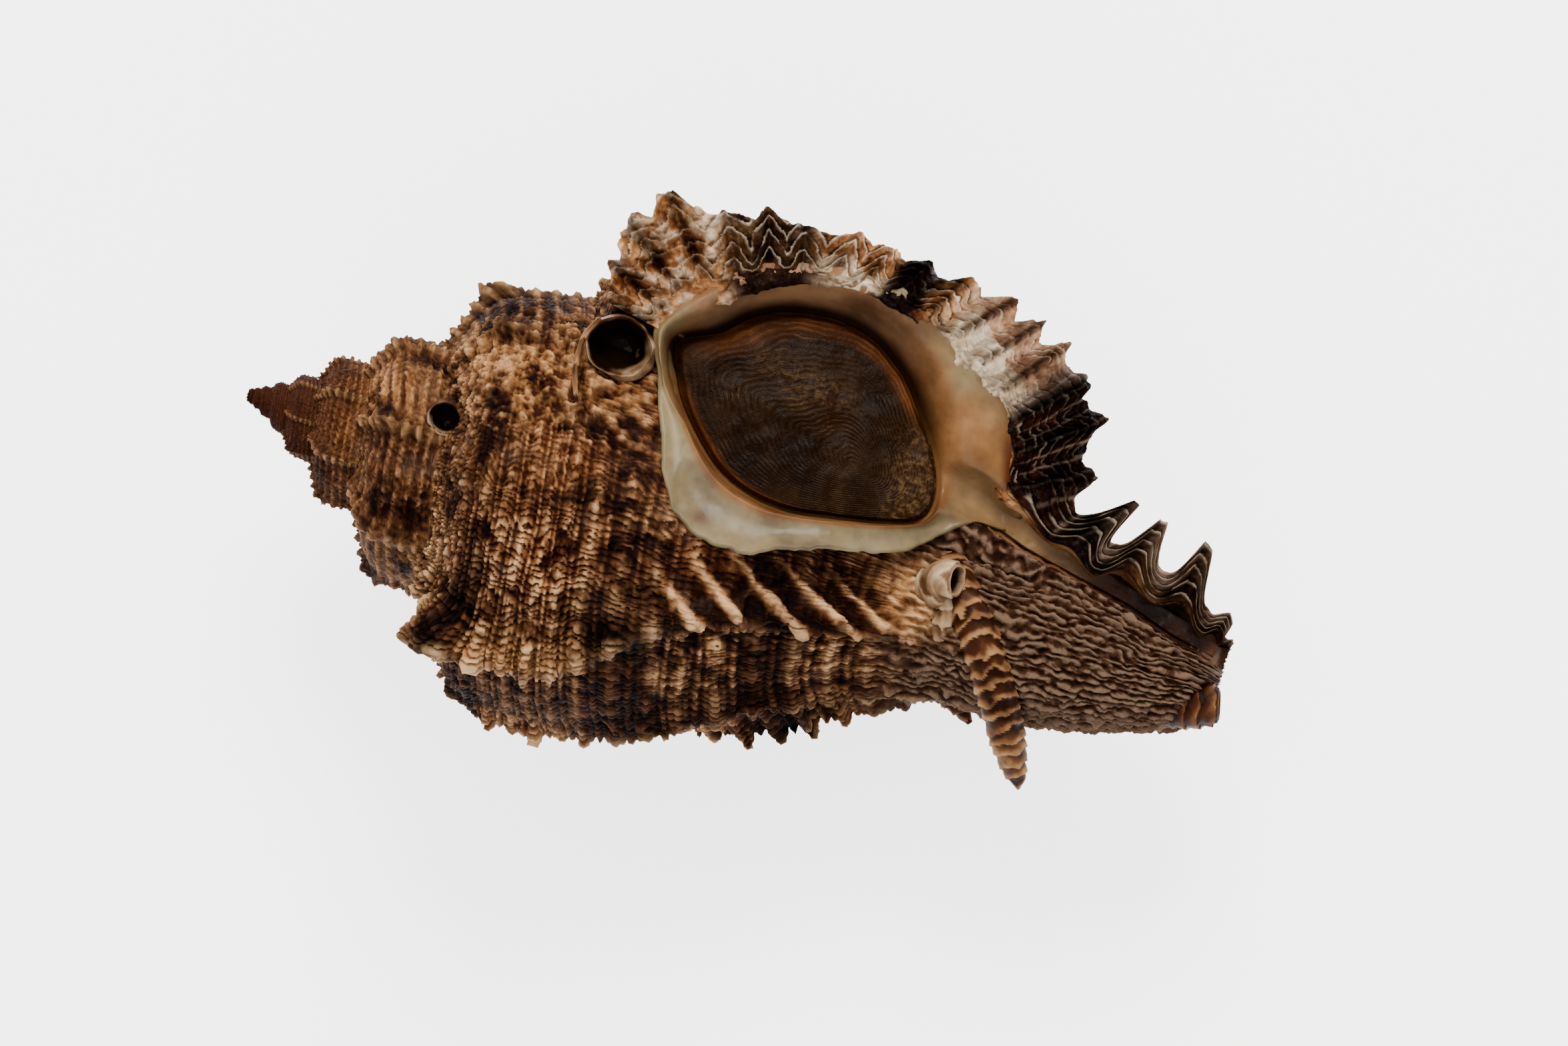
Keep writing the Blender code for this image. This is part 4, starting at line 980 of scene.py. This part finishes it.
def funnel(name, centre, half_size, rim_z, skirt, drop, depth, chalky, seed):
    """A hollow frond seen from its open end: skirt outside, thin rim, and a wall going down, painted dark as painted
    shade.
    """
    turn = np.linspace(0.0, 2.0 * np.pi, 120, endpoint=False)
    hanging = 1.0 - 0.85 * chalky(turn) * (half_size[0] > 2.0)
    rows = []
    for share in np.linspace(0.0, 1.0, 46):
        if share < 0.34:
            k = share / 0.34
            grow, fall = 1.0 + (1.0 - k) * skirt, -drop * (1.0 - k) ** 1.3 * hanging
        else:
            k = (share - 0.34) / 0.66
            grow, fall = 1.0 - 0.07 * min(1.0, k * 8.0) - 0.40 * k**1.5, -depth * k**0.8
        ragged_rim = 0.10 * noise(np.cos(turn) * 1.6 + 5.0, np.sin(turn) * 1.6 + share * 1.5 + 5.0, seed, 3)
        x = centre[0] + (grow + ragged_rim) * half_size[0] * np.cos(turn)
        y = centre[1] + (grow + ragged_rim) * half_size[1] * np.sin(turn)
        rows.append(np.stack([x, y, rim_z(turn) + fall + 2.0 * ragged_rim], axis=-1))
    points = np.array(rows)
    share = np.linspace(0.0, 1.0, 46)[:, None] + 0.0 * points[..., 0]
    bumps = noise(points[..., 0] * 0.8, points[..., 1] * 0.8, seed + 1, 3)
    low_side = smoothstep((0.45 - np.sin(turn)) / 0.5)[None]
    # painted shade: the wall going down is near black, except on its chalky side
    found = {
        "height": np.clip(0.55 + 0.5 * bumps, 0.0, 1.0), "growth": 0.0 * bumps, "banding": 0.0 * bumps,
        "inside": smoothstep((share - 0.355) / 0.08) * (1.0 - 0.85 * chalky(turn)[None] * smoothstep((0.75 - share) / 0.2)),
        "chalky": np.clip(chalky(turn)[None] + 0.8 * (np.abs(share - 0.34) < 0.04) * low_side, 0.0, 1.0) + 0.0 * bumps,
    }
    piece = grid_piece(
        name, points, found, wrap=True,
        ends=[tuple(points[0].mean(axis=0) - (0.0, 0.0, 3.0)), tuple(points[-1].mean(axis=0))],
    )
    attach(piece, "root")
    return piece


notch = funnel(
    "hollow_frond", NOTCH_CENTRE, NOTCH_HALF,
    lambda turn: 13.6 + 0.7 * smoothstep(-np.sin(turn) - 0.1) - 0.7 * np.cos(turn) ** 2 * (np.cos(turn) > 0.0),
    0.20, 9.0, 5.5, lambda turn: smoothstep((np.cos(turn + 0.5) - 0.25) / 0.5), 76,
)
small_notch = funnel(
    "small_hollow_frond", SMALL_NOTCH_CENTRE, np.array((1.6, 1.5)), lambda turn: 12.3 + 0.3 * np.sin(turn),
    0.5, 4.6, 3.0, lambda turn: smoothstep((np.cos(turn + 1.9) - 0.2) / 0.3), 79,
)
fan_edge = spine(
    "fan_edge", ((69.0, 2.2, 8.0, 1.0), (70.8, 0.2, 8.9, 0.9), (71.0, -2.3, 8.5, 0.8), (71.5, -5.2, 6.4, 0.2)),
    80, 28, ring_step=1.6, relief=0.2, seed=105, values={"chalky": everywhere, "banding": nowhere},
)
edge_below_notch = spine(
    "edge_below_notch", (
        (30.6, 17.0, 13.0, 0.26), (29.7, 15.2, 13.8, 0.28), (29.6, 13.2, 14.6, 0.30), (29.9, 11.2, 15.9, 0.30),
        (30.7, 9.0, 17.2, 0.20),
    ), 60, 20, ring_step=3.0, relief=0.05, seed=82, values={"chalky": nowhere, "banding": everywhere},
)
resting = []
for number, (angle, at_x, wide) in enumerate((
    (240.0, 29.5, 3.6), (240.0, 38.0, 3.6), (240.0, 47.0, 4.2), (300.0, 33.0, 3.6), (300.0, 42.5, 3.6), (300.0, 51.5, 4.2),
)):
    out_y, out_z = math.cos(math.radians(angle)), math.sin(math.radians(angle))
    far = 28.6 / abs(out_z)
    steps = [(17.0 + (far - 17.0) * k, wide + 1.1 + (2.1 - wide - 0.8) * k) for k in (0.0, 0.33, 0.67, 1.0)]
    resting.append(spine(
        f"resting_frond_{number}", [(at_x, r * out_y, r * out_z, thick) for r, thick in steps], 110, 64,
        ring_step=2.3, relief=0.30, seed=85 + 3 * number, squash=0.85, values={"chalky": nowhere, "banding": nowhere},
    ))
for piece in (banded, white_curl, lower_spine, lowest_spine, old_canal, notch, small_notch, fan_edge, edge_below_notch, *resting):
    piece.data.materials.append(ringed)

# Operculum
# The lid that closed the mouth: a thin plate of horn carried on the animal's foot. It grew from a
# nucleus near its lower right edge, so its growth ridges are rings crowded towards that side.
NUCLEUS = np.array((58.5, 10.8))
turn = np.linspace(0.0, 2.0 * np.pi, 520, endpoint=False)
lid_edge = lid_margin(turn)
edge_place = MOUTH_CENTRE + np.stack([np.cos(turn), np.sin(turn)], axis=-1) * (lid_edge - 0.05)[:, None]
share = np.concatenate([np.linspace(0.01, 0.985, 150), [0.993, 1.0]])
s, angle = np.meshgrid(share, turn, indexing="ij")
x = NUCLEUS[0] + (edge_place[None, :, 0] - NUCLEUS[0]) * s
y = NUCLEUS[1] + (edge_place[None, :, 1] - NUCLEUS[1]) * s
uneven = noise(x * 0.25, y * 0.25, 81, 3)
ring_phase = 27.0 * s**0.85 + 1.3 * uneven + 0.40 * noise(x * 0.7, y * 0.7, 82, 3)
ridge = 0.5 + 0.5 * np.cos(2.0 * np.pi * ring_phase)
fine = 0.5 + 0.5 * np.cos(2.0 * np.pi * 3.0 * ring_phase + uneven * 3.0)
dome = 0.5 * (1.0 - s**2)
weak = np.clip(0.5 + noise(x * 0.5, y * 0.5, 83, 3), 0.1, 1.0)
worn_rings = np.clip(0.35 + 0.2 * smoothstep((y - 11.0) / 6.0) + 0.8 * noise(x * 0.35, y * 0.35, 84, 3), 0.0, 1.0)
z = lid_height(y) - 0.25 + dome + (0.038 * ridge**2 + 0.022 * fine) * weak + 0.35 * uneven * (1.0 - s**4)
z = z - 0.9 * smoothstep((s - 0.95) / 0.05)
top = np.stack([x, y, z], axis=-1)
edge = top[-1]
inward = np.array((*MOUTH_CENTRE, 0.0)) - edge * (1.0, 1.0, 0.0)
inward /= np.linalg.norm(inward, axis=-1, keepdims=True)
lower = [edge + (0.0, 0.0, -0.35), edge + 0.7 * inward + (0.0, 0.0, -0.7)]
plate = np.concatenate([top, lower])
pad = [(0, 2), (0, 0)]
left_edge = smoothstep((s - 0.90) / 0.06) * smoothstep((56.0 - x) / 8.0) * smoothstep((15.0 - y) / 4.0)
right_side = smoothstep((x - 60.5) / 3.0) * smoothstep((17.5 - y) / 3.0)
# lighter amber along the upper margin: partly thin horn, partly painted sheen
upper_sheen = smoothstep((s - 0.80) / 0.12) * smoothstep((y - 14.0) / 5.0)
streak = np.exp(-(((y - 17.3 + 0.12 * (x - 50.0)) / 1.6) ** 2)) * smoothstep((x - 44.0) / 3.0) * smoothstep((60.0 - x) / 6.0)
values = {
    "ridge": np.pad(np.clip(worn_rings * (0.6 * ridge + 0.4 * fine) + 0.35 * (1.0 - worn_rings), 0.0, 1.0), pad, mode="edge"),
    "amber": np.pad(np.clip(left_edge + 0.75 * upper_sheen, 0.0, 1.0), pad, mode="edge"),
    "tan": np.pad(np.clip(0.7 * right_side + 0.7 * streak * (0.3 + 0.7 * fine) + 0.2 * uneven, 0.0, 1.0), pad, mode="edge"),
}
horn, shader = new_material("grown_horn")
# Conchiolin, a horny protein: near-black brown with a low satin gloss, amber where it is thin at the edges
# and a painted amber sheen along its upper margin, with greyish tan dust along its growth ridges.
place = add(horn, "ShaderNodeTexCoord").outputs["Object"]
ridges, amber, tan = (attribute(horn, key) for key in ("ridge", "amber", "tan"))
clouds = add(horn, "ShaderNodeTexNoise", [("Vector", place)], Scale=300.0, Detail=4.0, Roughness=0.6)
grain = add(horn, "ShaderNodeTexNoise", [("Vector", place)], Scale=1700.0, Detail=3.0, Roughness=0.7)
level = worked(horn, "ADD", worked(horn, "MULTIPLY", ridges, 0.50), worked(horn, "MULTIPLY", clouds.outputs["Fac"], 0.75), clamp=True)
dark_horn = ramp(horn, level, [(0.30, "#070200"), (0.50, "#100500"), (0.74, "#221307"), (1.0, "#554027")])
amber_horn = ramp(horn, level, [(0.2, "#1a0b03"), (0.6, "#3f1e08"), (1.0, "#6b3f18")])
dusty_horn = ramp(horn, grain.outputs["Fac"], [(0.38, "#1d0f06"), (0.5, "#342112"), (0.64, "#5b432a")])
tone = blend(horn, amber, dark_horn, amber_horn)
tone = blend(horn, worked(horn, "MULTIPLY", tan, 0.8), tone, dusty_horn)
horn.node_tree.links.new(tone, shader.inputs["Base Color"])
satin = ramp(horn, grain.outputs["Fac"], [(0.35, "#747474"), (0.65, "#a0a0a0")])
horn.node_tree.links.new(satin, shader.inputs["Roughness"])
shader.inputs["Specular IOR Level"].default_value = 0.015
scratched = add(horn, "ShaderNodeBump", [("Height", grain.outputs["Fac"])], Strength=0.35, Distance=0.0002)
horn.node_tree.links.new(scratched.outputs["Normal"], shader.inputs["Normal"])
lid = grid_piece("horn_lid", plate, values, ends=[tuple(top[0].mean(axis=0)), (53.0, 13.5, 8.0)], wrap=True)
lid.data.materials.append(horn)
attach(lid, "root")
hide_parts("operculum")

# Studio
# A pale floor that glows as painted light and large soft lights, with the camera straight over the shell and
# rolled so that the axis slopes down to the right.
PIXELS_PER_MM = 15.35
CAMERA_HEIGHT = 0.70
bpy.ops.mesh.primitive_plane_add(size=3.0, location=(0.0, 0.0, 0.0))
floor = bpy.context.object
floor.name = "glowing_floor"
glowing_paper, glowing_paper_shader = new_material("glowing_white_floor")
fibres = add(glowing_paper, "ShaderNodeTexNoise", [("Vector", add(glowing_paper, "ShaderNodeTexCoord").outputs["Object"])], Scale=900.0)
glowing_paper.node_tree.links.new(
    ramp(glowing_paper, fibres.outputs["Fac"], [(0.3, "#f8f7f6"), (0.7, "#fbfafa")]), glowing_paper_shader.inputs["Base Color"]
)
glowing_paper_shader.inputs["Roughness"].default_value = 0.9
# the floor glows: painted light that also lights the shell from below
glowing_paper_shader.inputs["Emission Color"].default_value = (1.0, 1.0, 1.0, 1.0)
glowing_paper_shader.inputs["Emission Strength"].default_value = 2.6
floor.data.materials.append(glowing_paper)


def softbox(name, place, aim, size, power, tint):
    """A square area light at a place in metres, aimed at a point."""
    lamp = bpy.data.lights.new(name, "AREA")
    lamp.size = size
    lamp.energy = power
    lamp.color = tint
    holder = bpy.data.objects.new(name, lamp)
    bpy.context.scene.collection.objects.link(holder)
    holder.location = place
    across = np.array(aim) - np.array(place)
    turn = math.atan2(across[1], across[0])
    fall = math.acos(-across[2] / np.linalg.norm(across))
    holder.rotation_euler = (fall, 0.0, turn - math.pi / 2.0)
    return holder


softbox("key_above_lip", (-0.15, 0.70, 0.90), (0.0, 0.0, 0.02), 0.45, 22.0, (1.0, 0.98, 0.95))
softbox("fill_below", (0.2, -0.7, 0.7), (0.0, 0.0, 0.02), 0.9, 3.5, (0.98, 0.98, 1.0))
softbox("overhead", (-0.35, 0.05, 1.1), (0.0, 0.0, 0.02), 0.8, 5.0, (1.0, 1.0, 1.0))

world = bpy.data.worlds.new("pale_room")
world.use_nodes = True
world.node_tree.nodes["Background"].inputs["Color"].default_value = (1.0, 1.0, 1.0, 1.0)
world.node_tree.nodes["Background"].inputs["Strength"].default_value = 0.75
bpy.context.scene.world = world

lens = bpy.data.cameras.new("camera")
lens.sensor_width = 36.0
lens.lens = 36.0 * (CAMERA_HEIGHT * 1000.0) / (2350.0 / PIXELS_PER_MM)
lens.clip_start = 0.05
camera = bpy.data.objects.new("camera", lens)
bpy.context.scene.collection.objects.link(camera)
# the frame's middle is 53.4 mm along the axis and 3.3 mm beside it, at the height of the mouth
camera.location = ((53.4 + APEX_AT[0]) * 0.001, (3.32 + APEX_AT[1]) * 0.001, 0.034 + CAMERA_HEIGHT)
camera.rotation_euler = (0.0, 0.0, math.radians(17.0))
bpy.context.scene.camera = camera
